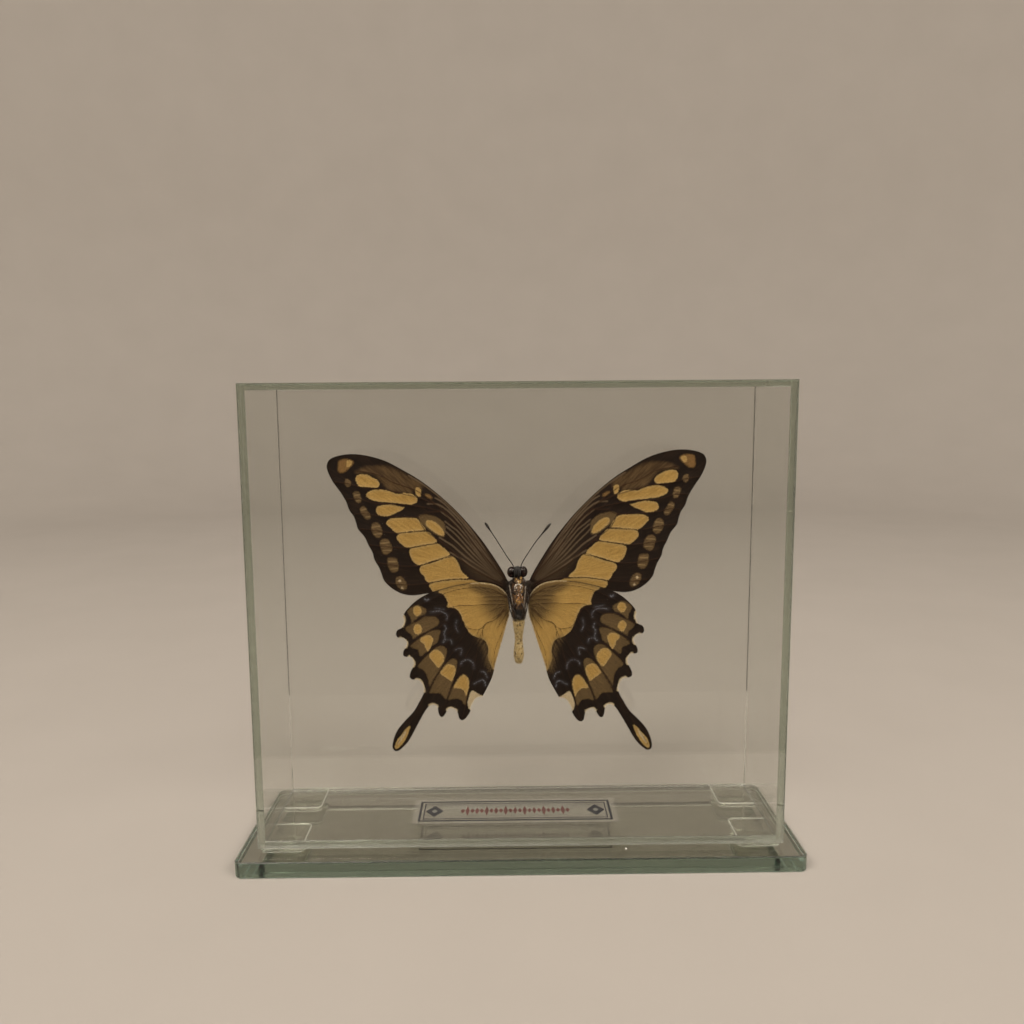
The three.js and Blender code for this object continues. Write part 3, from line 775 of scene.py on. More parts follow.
# Closed spots by kind. Kinds are the fields that wing_scales() colours.
FOREWING_SPOTS = {
    "yellow": [
        [(42.6, 40.4), (43.2, 41.3), (44.5, 42.1), (46, 42.9), (47.5, 43.2), (49, 43.1), (49.8, 42.5),
         (50, 41.5), (49.6, 40.4), (48.9, 39.5), (47.5, 39.3), (45.5, 39.1), (43.8, 39), (42.8, 39.4)],
        [(31, 35.3), (31.3, 36), (32.5, 36.7), (33.5, 37), (35, 37.1), (36, 37), (37.5, 36.9), (38.5, 37.4),
         (40, 38), (42, 38.3), (43.8, 38.4), (45.5, 38), (46.6, 37.3), (46.9, 36.6), (46.4, 35.9),
         (45, 35.1), (43, 34.6), (40, 34.3), (37, 34), (35, 33.7), (33, 33.5), (31.7, 33.9), (31, 34.6)],
        [(35, 32.6), (36.5, 32.9), (38, 33.4), (40, 33.6), (42, 33.4), (43.4, 33), (44, 32.1), (43.8, 31),
         (42.8, 30.3), (41.5, 29.9), (40, 30), (38.5, 30.7), (37, 31.3), (35.8, 31.9)],
        [(28.7, 25.6), (29.3, 26.5), (30, 27.7), (31, 28.8), (32.2, 29.3), (34, 29.4), (36.5, 29.4),
         (39, 29.3), (40.5, 28.6), (40.9, 27.6), (40.3, 26.8), (39.3, 25.8), (38, 24.7), (37, 24.6),
         (35, 24.9), (32, 25.2), (29.5, 25.3)],
        [(25.3, 21.8), (26, 23), (27, 24), (28, 24.8), (30, 24.9), (33, 24.8), (35.5, 24.6), (37.3, 24.1),
         (37.8, 23), (37.2, 21.8), (36.2, 20.8), (35, 20), (34, 20), (31, 20.5), (28, 20.9), (26, 21.3)],
        [(21.4, 17.6), (22.2, 18.7), (23.5, 19.9), (24.8, 20.9), (26, 21), (28, 20.6), (31, 20.1),
         (33.5, 19.5), (34, 18.8), (33.8, 17.3), (33.2, 15.8), (32.3, 14.8), (31.2, 14.3), (29.5, 14.7),
         (27, 15.5), (24, 16.4), (22, 17.1)],
        [(15.8, 9.9), (16.5, 10.8), (17.8, 12), (18.3, 13.3), (18.8, 14.8), (19.8, 16.3), (20.8, 17),
         (22, 16.8), (24, 16), (27, 14.9), (29.5, 14.3), (30.6, 13.7), (31, 12.6), (30.6, 11.6),
         (29.6, 10.6), (29.3, 9.6), (28.3, 8.6), (27, 8.8), (24, 9.3), (20, 9.7), (17.5, 9.7)],
        [(14, 9.2), (16, 9.4), (20, 9.4), (24, 9), (27, 8.5), (28, 8), (28.1, 7.2), (27.4, 6.2), (26, 5.2),
         (20, 5), (14, 5), (10, 6)],
        [(22.9, 24), (23.2, 25.2), (24, 26.4), (25.2, 27.5), (26.6, 28.3), (27.9, 28.5), (28.6, 27.9),
         (28.4, 26.9), (27.4, 25.8), (25.9, 24.6), (24.4, 23.7), (23.4, 23.5)],
        [(50.7, 46.9), (51.2, 47.4), (52.2, 47.6), (52.6, 46.8), (52.6, 45.8), (52.1, 45.4), (51.4, 46)],
        [(29.8, 38.3), (31.3, 38.7), (31.3, 36.6), (30, 36)],
    ],
    "orange": [
        [(26.2, 35.4), (27.1, 36.4), (28.4, 36.7), (28.2, 35.9), (27.1, 35.3)],
        [(50.4, 47), (51, 47.6), (52.1, 48), (53.7, 48), (55, 47.4), (55.2, 46.3), (55.4, 44.5),
         (54.4, 43.8), (53.2, 44.2), (52.1, 45), (51, 46)],
    ],
    "dusky": [
        [(29.5, 38), (30, 40.5), (33, 42), (36, 43.7), (39, 45.2), (42, 45.9), (45, 45.6), (47, 45.6),
         (49, 44.5), (50, 43.8), (48.5, 43.5), (46, 43.4), (44, 42.8), (42.5, 41.5), (41, 39.5), (40, 38.5),
         (38, 37.8), (35, 37.2), (33, 36.8), (31.8, 38)],
    ],
    "olive": [
        [(22.6, 26.8), (23.6, 28.2), (25, 29.3), (26.6, 29.9), (29.7, 30.3), (30.8, 29.4), (29.6, 27.4),
         (28.4, 26.1), (26.5, 24.6), (25, 23.6), (23.5, 23.1), (22.8, 23.6)],
        [(29.8, 36), (29.9, 37.3), (30.6, 38.4), (31.4, 38.5), (31.4, 37.3), (30.9, 36.2)],
    ],
    "grey": [
        [(51.5, 41), (52.4, 41.8), (53.2, 41.6), (53.3, 40.4), (52.8, 39.4), (51.8, 39.6)],
        [(48.8, 37), (49.3, 37.8), (50.5, 37.8), (51, 36.9), (50.4, 35.4), (49.8, 34.4), (48.8, 34.5),
         (48.4, 35.5)],
        [(47, 32.2), (47.6, 33.2), (48.6, 33), (49, 31.9), (48.2, 30.4), (47.4, 29.2), (46.4, 29),
         (45.7, 29.8), (46.2, 31.1)],
        [(43, 27.3), (43.9, 28.1), (45.2, 27.7), (45.7, 26.4), (45.3, 24.6), (44.2, 23.3), (43, 23.4),
         (42.2, 24.6), (42.5, 26)],
        [(40.5, 22.5), (42, 22.8), (43.2, 21.8), (43, 20), (42.3, 18.2), (41, 17.9), (39.5, 19),
         (39.5, 20.3)],
        [(38.3, 16.6), (40.9, 16.7), (40.9, 14.2), (40.2, 12.5), (39, 12), (37.8, 12.8), (37.6, 14.5),
         (38, 15.8)],
        [(36.2, 10), (37.4, 10.7), (38.6, 10.1), (38.6, 8.6), (37.6, 6.9), (36.2, 6.3), (35.2, 7),
         (35.4, 8.6)],
    ],
    "cream": [
        [(37.1, 9.3), (37.4, 9.7), (37.8, 9.5), (37.7, 9), (37.3, 8.9)],
        [(36.4, 7.1), (36.7, 7.4), (37, 7.1), (36.8, 6.7), (36.5, 6.7)],
    ],
    "streaks": [
        [(5, 9.5), (8, 15.6), (12, 21.6), (16.4, 27.2), (21, 31.8), (25.4, 35.3), (27.5, 34.2), (24.4, 30.4),
         (22.2, 27), (22.8, 23.4), (20.2, 18), (17.4, 14), (14.6, 11), (10, 9)],
    ],
}
# Light lines that fan out over the base of the forewing, between its dark pleats.
FOREWING_STREAKS = [
    [(5, 9.4), (6.9, 13), (9.9, 18), (13.1, 23.1), (16.2, 27.4), (19.3, 31.2), (22.4, 34.3), (25.6, 37.1),
     (28.7, 39.5), (33.4, 42.6)],
    [(5.2, 9.2), (7.4, 13), (11.5, 19.3), (14.6, 24.1), (17.8, 28.4), (20.9, 31.8), (23.1, 34),
     (25.3, 35.4)],
    [(5.4, 9), (7.7, 12.3), (11.5, 18.2), (14.6, 22.7), (17.8, 27.1), (20, 29.8), (22.5, 32.1), (25, 33.5),
     (27.8, 33.6)],
    [(5.6, 8.8), (8, 12), (11.5, 16.7), (14.6, 21.1), (17.8, 25.5), (20, 28), (21.8, 29.6), (23.7, 31.1)],
    [(5.8, 8.7), (8.3, 11.7), (11.5, 15.9), (14, 19.2), (16.2, 21.9), (18.7, 24.9), (20.6, 26.4),
     (22.5, 28)],
    [(6.6, 9.5), (9.3, 12.6), (12.1, 15.6), (14.6, 18.3), (17.1, 21.3), (19.3, 23.8), (20.9, 25.3),
     (22.2, 26.4)],
    [(6.8, 9.3), (9.9, 12.6), (13.1, 15.3), (15.6, 17.8), (18.1, 20.5), (20.3, 22.6), (22.8, 25.1)],
    [(6.8, 9.1), (9.9, 12), (13.1, 14.2), (16.2, 16.5), (18.7, 18.7), (20.6, 20.4), (24.4, 22.9)],
    [(7.4, 9.2), (11.5, 11.9), (14.6, 13.8), (16.8, 15.4), (18.7, 16.6), (21.3, 18.2)],
    # short pale dashes on either side of the vein in each spot along the margin
    [(48.9, 36.9), (50.6, 36.6)], [(48.7, 35.2), (50, 35)],
    [(46.9, 32.4), (48.7, 32)], [(46, 29.9), (47.3, 29.8)],
    [(43, 26.9), (45.4, 26.6)], [(42.6, 24.5), (45, 24.3)],
    [(40.4, 21.6), (43, 21.4)], [(39.8, 19.1), (42.3, 19.2)],
    [(38.2, 15.6), (40.7, 15.5)], [(37.9, 13.4), (40, 13.2)],
    [(36.9, 9.3), (38.1, 9.2)], [(36.1, 7), (37.2, 6.9)],
]
FOREWING_VEINS = [
    [(4.3, 10), (9, 16.8), (14, 23.1), (19.5, 28.4), (25, 33.2), (31, 37.8), (38, 40.4), (43, 43.1),
     (50, 44.4)],
    [(25, 33.2), (30, 35.4), (36.4, 37.2), (43, 38.7), (48.5, 39.3), (52.4, 40.4), (56.6, 41)],
    [(23, 31), (28, 32.4), (31.5, 33), (37, 33.8), (43.5, 34), (49.5, 35.6), (53.2, 35.4)],
    [(23, 31), (28, 31), (31, 29.6), (38, 29.8), (44, 30.2), (47.4, 31), (51, 30.8)],
    [(28.7, 25.2), (33, 24.9), (38, 24.6), (41.5, 25), (44.5, 25.6), (49.6, 26.2)],
    [(23.4, 21.2), (28, 20.8), (34.5, 19.8), (38, 20), (41.3, 20.4), (46.6, 21)],
    [(19, 17.2), (24, 16.2), (31, 14.1), (35, 14), (39, 14.4), (44.6, 15.4)],
    [(5, 7.2), (10, 9), (16, 9.5), (20, 9.6), (24, 9.2), (28, 8.4), (32, 8.1), (36.8, 8.2), (42, 8.8)],
    [(5, 8), (11, 11), (15.6, 14), (19, 17.2), (23.4, 21.2), (28.7, 25.2), (31, 29.6)],
    [(4.2, 9.4), (12, 18.6), (18, 25), (23, 31)],
]

HINDWING_SPOTS = {
    "yellow": [
        [(2, 9), (12, 9.4), (20, 8.6), (25.5, 6.3), (24, 5.3), (23.3, 4), (22.9, 3), (22.7, 2), (23, 1),
         (22.3, 0.9), (21, 0.7), (20, 0.2), (19.3, -0.5), (18.9, -1.3), (18.5, -2.2), (18.1, -3.5),
         (17.5, -5), (17, -6.3), (16.3, -7.5), (15.6, -8.3), (14.5, -9), (13.3, -9.6), (12, -10), (11, -11),
         (10.5, -12.5), (10.3, -14), (10.6, -16), (10.2, -17.5), (9.7, -19), (9.2, -19.9), (8, -20.4),
         (5, -12), (2, -4)],
        [(32.6, 1.7), (33.7, 1), (34, -0.2), (33.4, -1.5), (32.5, -1.8), (31.5, -1), (31.2, 0.2),
         (31.7, 1.2)],
        [(32.8, -4.4), (33.8, -5), (34.1, -6.2), (33.6, -7.5), (32.8, -8), (31.8, -7.3), (31.4, -6.1),
         (31.9, -4.9)],
        [(28, -9.5), (29, -8.4), (30.5, -8.4), (31.9, -9.2), (32, -10.3), (31, -11), (30.6, -12.3),
         (29.8, -13.6), (29, -12.5), (28.3, -11)],
        [(24.6, -16.2), (25, -14.8), (26, -13.7), (27.2, -13.2), (28.4, -13.6), (29.4, -14.8), (29.3, -16),
         (28.5, -17), (27.5, -18.5), (26.6, -19.3), (25.6, -18.3), (24.9, -17.2)],
        [(21.1, -20), (21.5, -19), (22.5, -18.4), (23.6, -18.2), (24.6, -18.8), (25.5, -20), (26.1, -21.2),
         (25.5, -22), (24.3, -22.8), (23.3, -23.6), (22.5, -24), (21.9, -22.8), (21.4, -21.5)],
        [(17, -24), (17.5, -22.6), (18.3, -22), (19.2, -22.1), (20.3, -23.1), (21.3, -24.7), (22, -26),
         (21.5, -26.4), (20.3, -26.4), (19.2, -26.9), (18.4, -28), (18, -29.2), (17.4, -27.5), (17, -25.8)],
        [(36.6, -39), (37.5, -39.3), (38.3, -40), (39.3, -41.3), (40.5, -42.7), (41.5, -44.2), (42, -45.8),
         (41.9, -46.8), (41, -46.6), (40, -45.6), (39, -44.4), (38, -42.6), (37.2, -40.8)],
    ],
    "olive": [
        [(29.7, 0), (30.3, -1.3), (32, -1.9), (33.5, -3), (34.5, -3.9), (34.8, -2.5), (35.5, -1),
         (35.8, -0.2), (35, 0.8), (33.8, 1.6), (32.5, 1.9), (31, 1.2), (30, 0.6)],
        [(25.8, -3.8), (26.5, -2.5), (28, -2), (30, -2.1), (31.5, -2.8), (33, -3.7), (35, -4.5),
         (36.7, -5.8), (36, -7), (34.8, -8), (34.5, -9.3), (33.8, -9), (32.5, -8.2), (31, -7.5),
         (29.5, -6.7), (27.5, -5.7), (26.3, -5)],
        [(25.5, -6.8), (27, -6.6), (28.8, -7), (30.5, -8), (32.5, -9.3), (34, -10.5), (35.3, -11.8),
         (34, -12.7), (32.8, -13.2), (32.6, -14.8), (32, -15.2), (31, -14.4), (29.8, -13.4), (28.5, -12),
         (27.3, -11.3), (26.5, -10.5), (26, -8.7)],
        [(23.7, -14), (24, -12.8), (25, -12), (26.2, -12), (27.5, -12.7), (29, -14), (30.5, -15.4),
         (32, -17), (33.3, -18.8), (31.8, -19.8), (31.2, -20.5), (30.6, -21.5), (30.2, -22.8), (30, -24.4),
         (29.7, -25.5), (29.2, -24.5), (28.3, -23), (27, -21), (26, -19.5), (25, -17.8), (24.2, -16)],
        [(20.5, -18), (20.7, -17), (21.5, -16.4), (22.5, -16.6), (23.5, -17.4), (24.8, -18.8), (26, -20.5),
         (27, -22), (28.2, -24), (29.3, -26.2), (29.9, -27.8), (28.5, -27.9), (26.5, -28), (25.8, -28.8),
         (24.8, -30), (24.4, -29.5), (23.8, -28), (23.2, -26.5), (22.4, -24.5), (21.6, -22.3), (21, -20.5)],
        [(17, -23.5), (17.5, -22.4), (18.3, -21.7), (19.2, -21.8), (20.2, -22.7), (21, -23.9), (22, -25.5),
         (22.8, -27.2), (23.5, -29), (23.9, -30.4), (22.8, -30.1), (21.5, -30), (20.2, -30.2), (19.3, -31),
         (18.9, -31.9), (18.3, -31.8), (18, -30), (17.5, -28), (17, -26), (16.8, -24.5)],
    ],
    "cream": [
        [(38.1, -40.4), (39.3, -41.7), (40.5, -43.5), (41.2, -45.2), (40.4, -44.7), (39.2, -43),
         (38.3, -41.5)],
        [(15.3, -27.6), (15.9, -27.3), (16.5, -27.8), (17, -29), (17.5, -30.7), (17.7, -32), (17.2, -33.1),
         (16.4, -32), (16, -31), (15.3, -30), (14.3, -29.4), (13.2, -29.2)],
    ],
    # The first band is painted shadow just under the hindwing's front edge. The others are dusky scales
    # round the root and along the inner fold.
    "dusk_and_shadow_band": [
        [(14, 10.4), (20, 9.8), (25.8, 7.4), (24.6, 6.4), (20, 7.6), (15, 8.2)],
        [(3.5, -0.1), (4.5, 6), (6.4, 7.9), (9.6, 8.8), (14.7, 8.8), (16.1, 7.6), (12.4, 5), (9.6, 2.7),
         (6.3, 0.8)],
        [(12.4, -9.3), (11, -12.1), (10.5, -15), (9.6, -17.9), (9, -19.5), (10.4, -20.4), (11.4, -16),
         (12.3, -12.4), (13.6, -9.9)],
    ],
}
# Straw-white hair along the front edge of the hindwing, next to the body.
HINDWING_HEM = [(3.4, 3.9), (4.3, 5.3), (5.8, 6.8), (8.1, 8), (12, 8.7), (15, 8.6)]
# Pale blue-grey crescents on the black band of the hindwing: a line and its half width.
HINDWING_CRESCENTS = [
    (0.2, [(28.9, 3.6), (29.4, 3.4), (29.9, 3.8)]),
    (0.08, [(23.3, -3.2), (23.1, -2), (23.8, -1), (25.4, -0.3), (28.2, -0.6)]),
    (0.04, [(24, 0.2), (26.8, 0.6)]),
    (0.1, [(24, -5.1), (23.6, -6.3), (24.3, -7.5), (24.1, -9.4), (24.8, -10.8)]),
    (0.06, [(20.1, -3.6), (20.5, -5.5), (19.8, -7.4)]),
    (0.08, [(22, -11.3), (22.2, -10.1), (23.6, -9.9), (24.5, -10.6)]),
    (0.08, [(19.2, -15.1), (18.9, -13.2), (19.9, -13), (21, -13.5)]),
    (0.1, [(15.2, -19.7), (15.4, -18), (17.1, -16.8), (18.9, -17.5), (19.2, -18.5)]),
    (0.08, [(11, -23), (11.7, -21.3), (12.8, -20.9)]),
    (0.12, [(11.7, -25.7), (11.9, -24.3), (12.8, -23.8), (15.2, -25)]),
]
HINDWING_VEINS_AND_HAIR_SHADOWS = [
    [(3.6, 3.4), (8, 6.4), (14, 7.3), (20, 6.6), (25, 5), (30, 2.6), (35.4, 0.8)],
    [(4.5, 1.3), (9.6, 1.7), (14.7, 1.4), (19.8, 1.3), (22.5, 0.4), (26, -1.8), (30, -2), (33, -3.4),
     (37, -5.2)],
    [(20.6, 0.2), (25.4, -5.6), (29, -6.8), (32.5, -8.8), (36.6, -12.2)],
    [(18.2, -3.6), (21, -8), (24, -11.4), (26.5, -11.7), (29.5, -13.8), (32.5, -16.6), (34.8, -19.6)],
    [(16.4, -6.2), (20, -11.5), (22.2, -14.8), (24.6, -17.7), (27, -21.4), (29.6, -25.8), (31.4, -29),
     (35, -35), (38.2, -40), (41.4, -45.4)],
    [(12.8, -6.6), (16, -12.6), (19, -18.4), (20.8, -22), (22.6, -26), (24.4, -30.5), (26, -34.6)],
    [(10.5, -4.5), (12.3, -8), (14, -14.6), (15.6, -21), (16.8, -25), (17.7, -29.5), (18.6, -33),
     (19.4, -36)],
    [(4.5, 0.4), (7.7, -3.5), (10.5, -4.5), (12.8, -6.6), (16.4, -6.2), (18.2, -3.6), (20.6, 0.2),
     (22.5, 0.4)],
    [(4.5, -0.6), (6.3, -2.5), (8.6, -4), (11.4, -5.4), (11.9, -8.8)],
    [(4, -3.5), (6.3, -9.2), (8.2, -14), (8.6, -18.9)],
    # painted shadows of the hair that spreads from the root, drawn as dark lines like the veins
    [(3.6, 4.1), (6.2, 5.2), (10, 5.9)], [(3.6, 3.7), (7, 4.2), (11.5, 4)],
    [(3.7, 2.6), (7, 2.9), (10.5, 2.7)],
    [(3.7, 1), (6.4, 0.4), (9.4, -0.8)], [(3.6, 0.2), (6.2, -1.6), (8.6, -3.2)],
    [(3.5, -0.8), (5.6, -4), (7.4, -6.6)], [(3.5, -2.2), (5, -6), (6.4, -9.6)],
]
# Stretches of the hindwing's edge with straw-white fringe: the notches between its teeth.
PALE_NOTCHES = [
    [(37.2, -1.6), (36.9, -3.1), (37.6, -4.9)],
    [(38.5, -8.9), (36.5, -10.3), (36.8, -12)],
    [(36, -15.2), (34.5, -17), (34.7, -18.5)],
    [(34, -23.1), (32.5, -23.8), (31.6, -27.2)],
    [(30, -32), (28.9, -31.7), (27.5, -32.4)],
    [(24.4, -33.7), (23.3, -33.1), (21.4, -34)],
    [(17, -33.2), (16.2, -31.6), (15.2, -30.1), (13.2, -29.4)],
]
WING_FIELDS = ["yellow", "orange", "dusky", "olive", "grey", "cream", "dusk_and_shadow_band", "blue", "streaks", "vein_and_hair_shadow",
               "stripe", "rim", "fan", "reach", "brown"]


ROOTS = {"forewing": (4, 8), "hindwing": (4, 3)}     # where the scales of each wing fan out from
FAN_RADIUS = 25       # where an angle at the root is measured as a length
OFF = 9.0             # a distance that counts as nowhere near


def to_line(points, line):
    """Distance of each point from an open line."""
    best = np.full(len(points), 99.0)
    for first, second in zip(line, line[1:]):
        first, second = np.array(first, float), np.array(second, float)
        along = second - first
        share = np.clip((points - first) @ along / max(along @ along, 1e-9), 0, 1)
        best = np.minimum(best, np.linalg.norm(points - first - share[:, None] * along, axis=1))
    return best


def depth_in(points, ring):
    """Distance of each point from a closed line: positive inside it and negative outside."""
    ring = list(ring) + [ring[0]]
    odd = np.zeros(len(points), bool)
    for first, second in zip(ring, ring[1:]):
        rise = second[1] - first[1]
        if abs(rise) < 1e-9:
            continue
        crossing = (first[1] > points[:, 1]) != (second[1] > points[:, 1])
        meets = first[0] + (points[:, 1] - first[1]) * (second[0] - first[0]) / rise
        odd ^= crossing & (points[:, 0] < meets)
    distance = to_line(points, ring)
    return np.where(odd, distance, -distance)


def wing_outline(stretches):
    """The closed edge of a wing: every stretch is smooth, and they meet at corners."""
    ring = []
    for points in stretches:
        ring += spline(points, 3)[:-1]
    ring.append(np.array(stretches[-1][-1], float))
    return ring


def wing_fields(points, outline, spots, veins_and_hair_shadows, streaks, crescents, root):
    """What colours each point: how deep it lies in each kind of spot, and how far it is from the veins and
    the painted hair shadows.
    """
    fields = {name: np.full(len(points), -OFF) for name in WING_FIELDS}
    for kind, rings in spots.items():
        for ring in rings:
            fields[kind] = np.maximum(fields[kind], depth_in(points, spline(ring, 3, closed=True)))
    for width, line in crescents:
        fields["blue"] = np.maximum(fields["blue"], width - to_line(points, spline(line, 4)))
    fields["vein_and_hair_shadow"] = np.min([to_line(points, spline(line, 4)) for line in veins_and_hair_shadows], axis=0)
    away = points - np.array(root, float)
    fields["fan"] = np.arctan2(away[:, 1], away[:, 0]) * FAN_RADIUS
    fields["reach"] = np.linalg.norm(away, axis=1)
    fields["stripe"] = np.full(len(points), OFF)
    for line in streaks:
        # A long line is slimmest at its root, where all of them meet. A short dash has one width.
        slim = np.clip(1.9 - 0.085 * fields["reach"], 0.72, 2) if len(line) > 2 else 1.0
        fields["stripe"] = np.minimum(fields["stripe"], slim * to_line(points, spline(line, 4)))
    fields["rim"] = to_line(points, list(outline) + [outline[0]])
    return {name: np.clip(values, -60, 60) for name, values in fields.items()}


LIFT = {"forewing": 0.3, "hindwing": -0.38}      # near face of each wing, from its hinge
GRID = 0.3                                       # spacing of the wing's mesh, which carries the fields
WARP_PITCH, WARP_HEIGHT = 0.055, 0.28            # slow waves of the dried wing: number per mm, and height
WARP_SEED = {-1: 8.7, 1: 3.1}


def wing_sheet(outline):
    """The wing's outline, cut into a fine grid and given its thickness. The near face lies at y = 0."""
    bm = bmesh.new()
    bm.faces.new([bm.verts.new((x, 0, z)) for x, z in outline])
    flat = np.array(outline)
    for axis, normal in ((0, X), (1, Z)):
        low, high = flat[:, axis].min(), flat[:, axis].max()
        for i in range(1, int((high - low) / GRID)):
            place = normal * (low + i * GRID)
            bmesh.ops.bisect_plane(bm, geom=bm.verts[:] + bm.edges[:] + bm.faces[:], dist=1e-5,
                                   plane_co=place, plane_no=normal)
    bmesh.ops.recalc_face_normals(bm, faces=bm.faces)
    if bm.faces[:][0].normal.y > 0:
        bmesh.ops.reverse_faces(bm, faces=bm.faces)
    bmesh.ops.solidify(bm, geom=bm.faces, thickness=SHEET)
    bmesh.ops.recalc_face_normals(bm, faces=bm.faces)
    bm.verts.index_update()
    return bm


def set_wing(points, side, kind):
    """Places points of the plan, with their y, on the left or right of the specimen."""
    points = points.copy()
    if side < 0:
        turn, across, up, (px, pz) = LEFT_SET[kind]
        x, z = (points[:, 0] - px) * across, (points[:, 2] - pz) * up
        points[:, 0] = px + x * math.cos(turn) - z * math.sin(turn)
        points[:, 2] = pz + x * math.sin(turn) + z * math.cos(turn)
    points[:, 1] += WING_HINGE[1] + (points[:, 0] - WING_HINGE[0]) * WING_RISE
    points[:, 0] *= side
    points[:, 2] += SPECIMEN_HEIGHT
    return points


def warp(plan, side):
    """The slow waves of a dried wing, at points of the plan."""
    places = [Vector((x * WARP_PITCH, z * WARP_PITCH, WARP_SEED[side])) for x, z in plan]
    return WARP_HEIGHT * np.array([noise.noise(place) for place in places])


def relief(plan, vein_and_hair_shadow, lift, side):
    """How far each point of the sheet stands forward or back: ribs on the veins, pleats and slow waves."""
    rib = -0.07 * np.exp(-(vein_and_hair_shadow / 0.3) ** 2)
    pleat = 0.1 * np.clip(vein_and_hair_shadow / 1.6, 0, 1) ** 2
    return lift + rib + pleat + warp(plan, side)


def wing(kind, side, stretches, spots, veins_and_hair_shadows, streaks, crescents, notches, material):
    """One wing with the fields that colour it. Its left and right copies differ a little in set and warp."""
    outline = wing_outline(stretches)
    bm = wing_sheet(outline)
    places = np.array([v.co for v in bm.verts])
    plan = places[:, [0, 2]]
    across, up = plan.T
    fields = wing_fields(plan, outline, spots, veins_and_hair_shadows, streaks, crescents, ROOTS[kind])
    for line in notches:
        fields["cream"] = np.maximum(fields["cream"], 0.45 - to_line(plan, spline(line, 3)))
    places[:, 1] += relief(plan, fields["vein_and_hair_shadow"], LIFT[kind], side)
    if kind == "forewing":
        fields["vein_and_hair_shadow"] *= 0.8
        fields["brown"] = np.clip(1.2 - fields["reach"] / 36, 0, 1)
    else:
        # The hindwing is dusky round its root and inside its inner edge, which is bare and straw-white.
        inner = np.where((across < 10) & (up < 4), -0.1 - 1.6 * fields["rim"], -OFF)
        fields["dusk_and_shadow_band"] = np.max([fields["dusk_and_shadow_band"], inner, 3.7 - 0.5 * fields["reach"]], axis=0)
        bare = (across < 9.5) & (up < 1.5) & (up > -20.5)
        hem = 0.14 - to_line(plan, spline(HINDWING_HEM, 4))
        fields["cream"] = np.maximum(fields["cream"], np.where(bare, 0.22 - fields["rim"], hem))
    for vert, place in zip(bm.verts, set_wing(places, side, kind)):
        vert.co = place
    if side < 0:
        bmesh.ops.reverse_faces(bm, faces=bm.faces)
    node = kind + ("_left" if side < 0 else "_right")
    finish_piece(node + "_sheet", bm, [material], node, fields=fields)


FRINGE_PITCH = 0.11       # from hair to hair along the edge
FRINGE_RADIUS = 0.055
NOTCH_REACH = 0.6         # hairs this near the line of a notch are pale
FRINGE_ROOT = 0.12        # how far a hair starts inside the edge


def fringe(kind, side, stretches, notches, material, rng):
    """Hair scales that stand out from the wing's outer edge."""
    hairs, pale = [], []
    height = LIFT[kind] + SHEET / 2
    ring = wing_outline(stretches)
    for first, second in zip(ring, ring[1:]):
        edge = second - first
        span = max(np.linalg.norm(edge), 1e-6)
        out = np.array([-edge[1], edge[0]]) / span
        count = max(1, int(span / FRINGE_PITCH))
        for i in range(count):
            root = first + edge * (i + rng.random()) / count
            away = min((to_line(root[None], spline(n, 3))[0] for n in notches), default=OFF)
            light = away < NOTCH_REACH
            length = rng.uniform(0.34, 0.55) if light else rng.uniform(0.16, 0.32)
            lean = rng.uniform(-0.12, 0.12) * edge / span
            tip = root + out * length + lean
            root = root - out * FRINGE_ROOT
            hairs.append(((root[0], height, root[1]), (tip[0], height + rng.uniform(-0.06, 0.06), tip[1])))
            pale.append(float(light))
    ends = np.array(hairs)
    ends[:, :, 1] += warp(ends[:, 0, [0, 2]], side)[:, None]
    roots, tips = set_wing(ends[:, 0], side, kind), set_wing(ends[:, 1], side, kind)
    name = kind + ("_left_fringe" if side < 0 else "_right_fringe")
    coat = [(root, tip, FRINGE_RADIUS) for root, tip in zip(roots, tips)]
    hair_coat(name, coat, material, fields={"pale": np.array(pale)})


# ---------------------------------------------------------------- body, legs and feelers

# Half width of abdomen and thorax from the tip of the abdomen up to the neck: (radius, z).
TRUNK = [
    (0.45, -17.6), (1.0, -17), (1.35, -16), (1.6, -14.6), (1.42, -12.4), (1.14, -10.4), (1.12, -8.8),
    (1.42, -7), (1.82, -4.6), (1.86, -3), (2.05, -1), (2.28, 1.5), (2.48, 4.5), (2.42, 6.6), (2.08, 8.4),
    (1.5, 9.6), (1.2, 10.4),
]
TRUNK_ENDS = -17.85, 10.6      # where the trunk closes on its axis
TRUNK_PLACE, TRUNK_DEPTH = Vector((-0.1, -1.3, SPECIMEN_HEIGHT)), 1.15
SEGMENTS = [-16.6, -15.3, -13.8, -12.2, -10.6, -9, -7.4, -5.7, -3.9]     # furrows between abdomen segments
HEAD, HEAD_SIZE = Vector((-0.4, -1.45, 11.9)), (1.9, 1.5, 1.7)
EYES, EYE_SIZE = [(-2.2, -1.45, 11.75), (1.4, -1.45, 11.85)], (1.42, 1.3, 1.75)
PALP = [(0.42, -2.6, 10.3), (0.62, -3.1, 11.3), (0.6, -2.9, 12.5), (0.5, -2.3, 13.5)]     # x from HEAD
ABDOMEN_TOP, BELLY_SHARE = -3, 0.86      # the abdomen's near side is flatter than its far side


def half_width(z):
    """Half width of the trunk at a height above the specimen's origin."""
    return float(np.interp(z, [p[1] for p in TRUNK], [p[0] for p in TRUNK]))


def trunk_point(z, turn, out=1.0):
    """A point on the trunk's skin; turn 0 faces -Y and grows towards +X."""
    radius = half_width(z) * out
    return TRUNK_PLACE + Vector((radius * math.sin(turn), -radius * TRUNK_DEPTH * math.cos(turn), z))


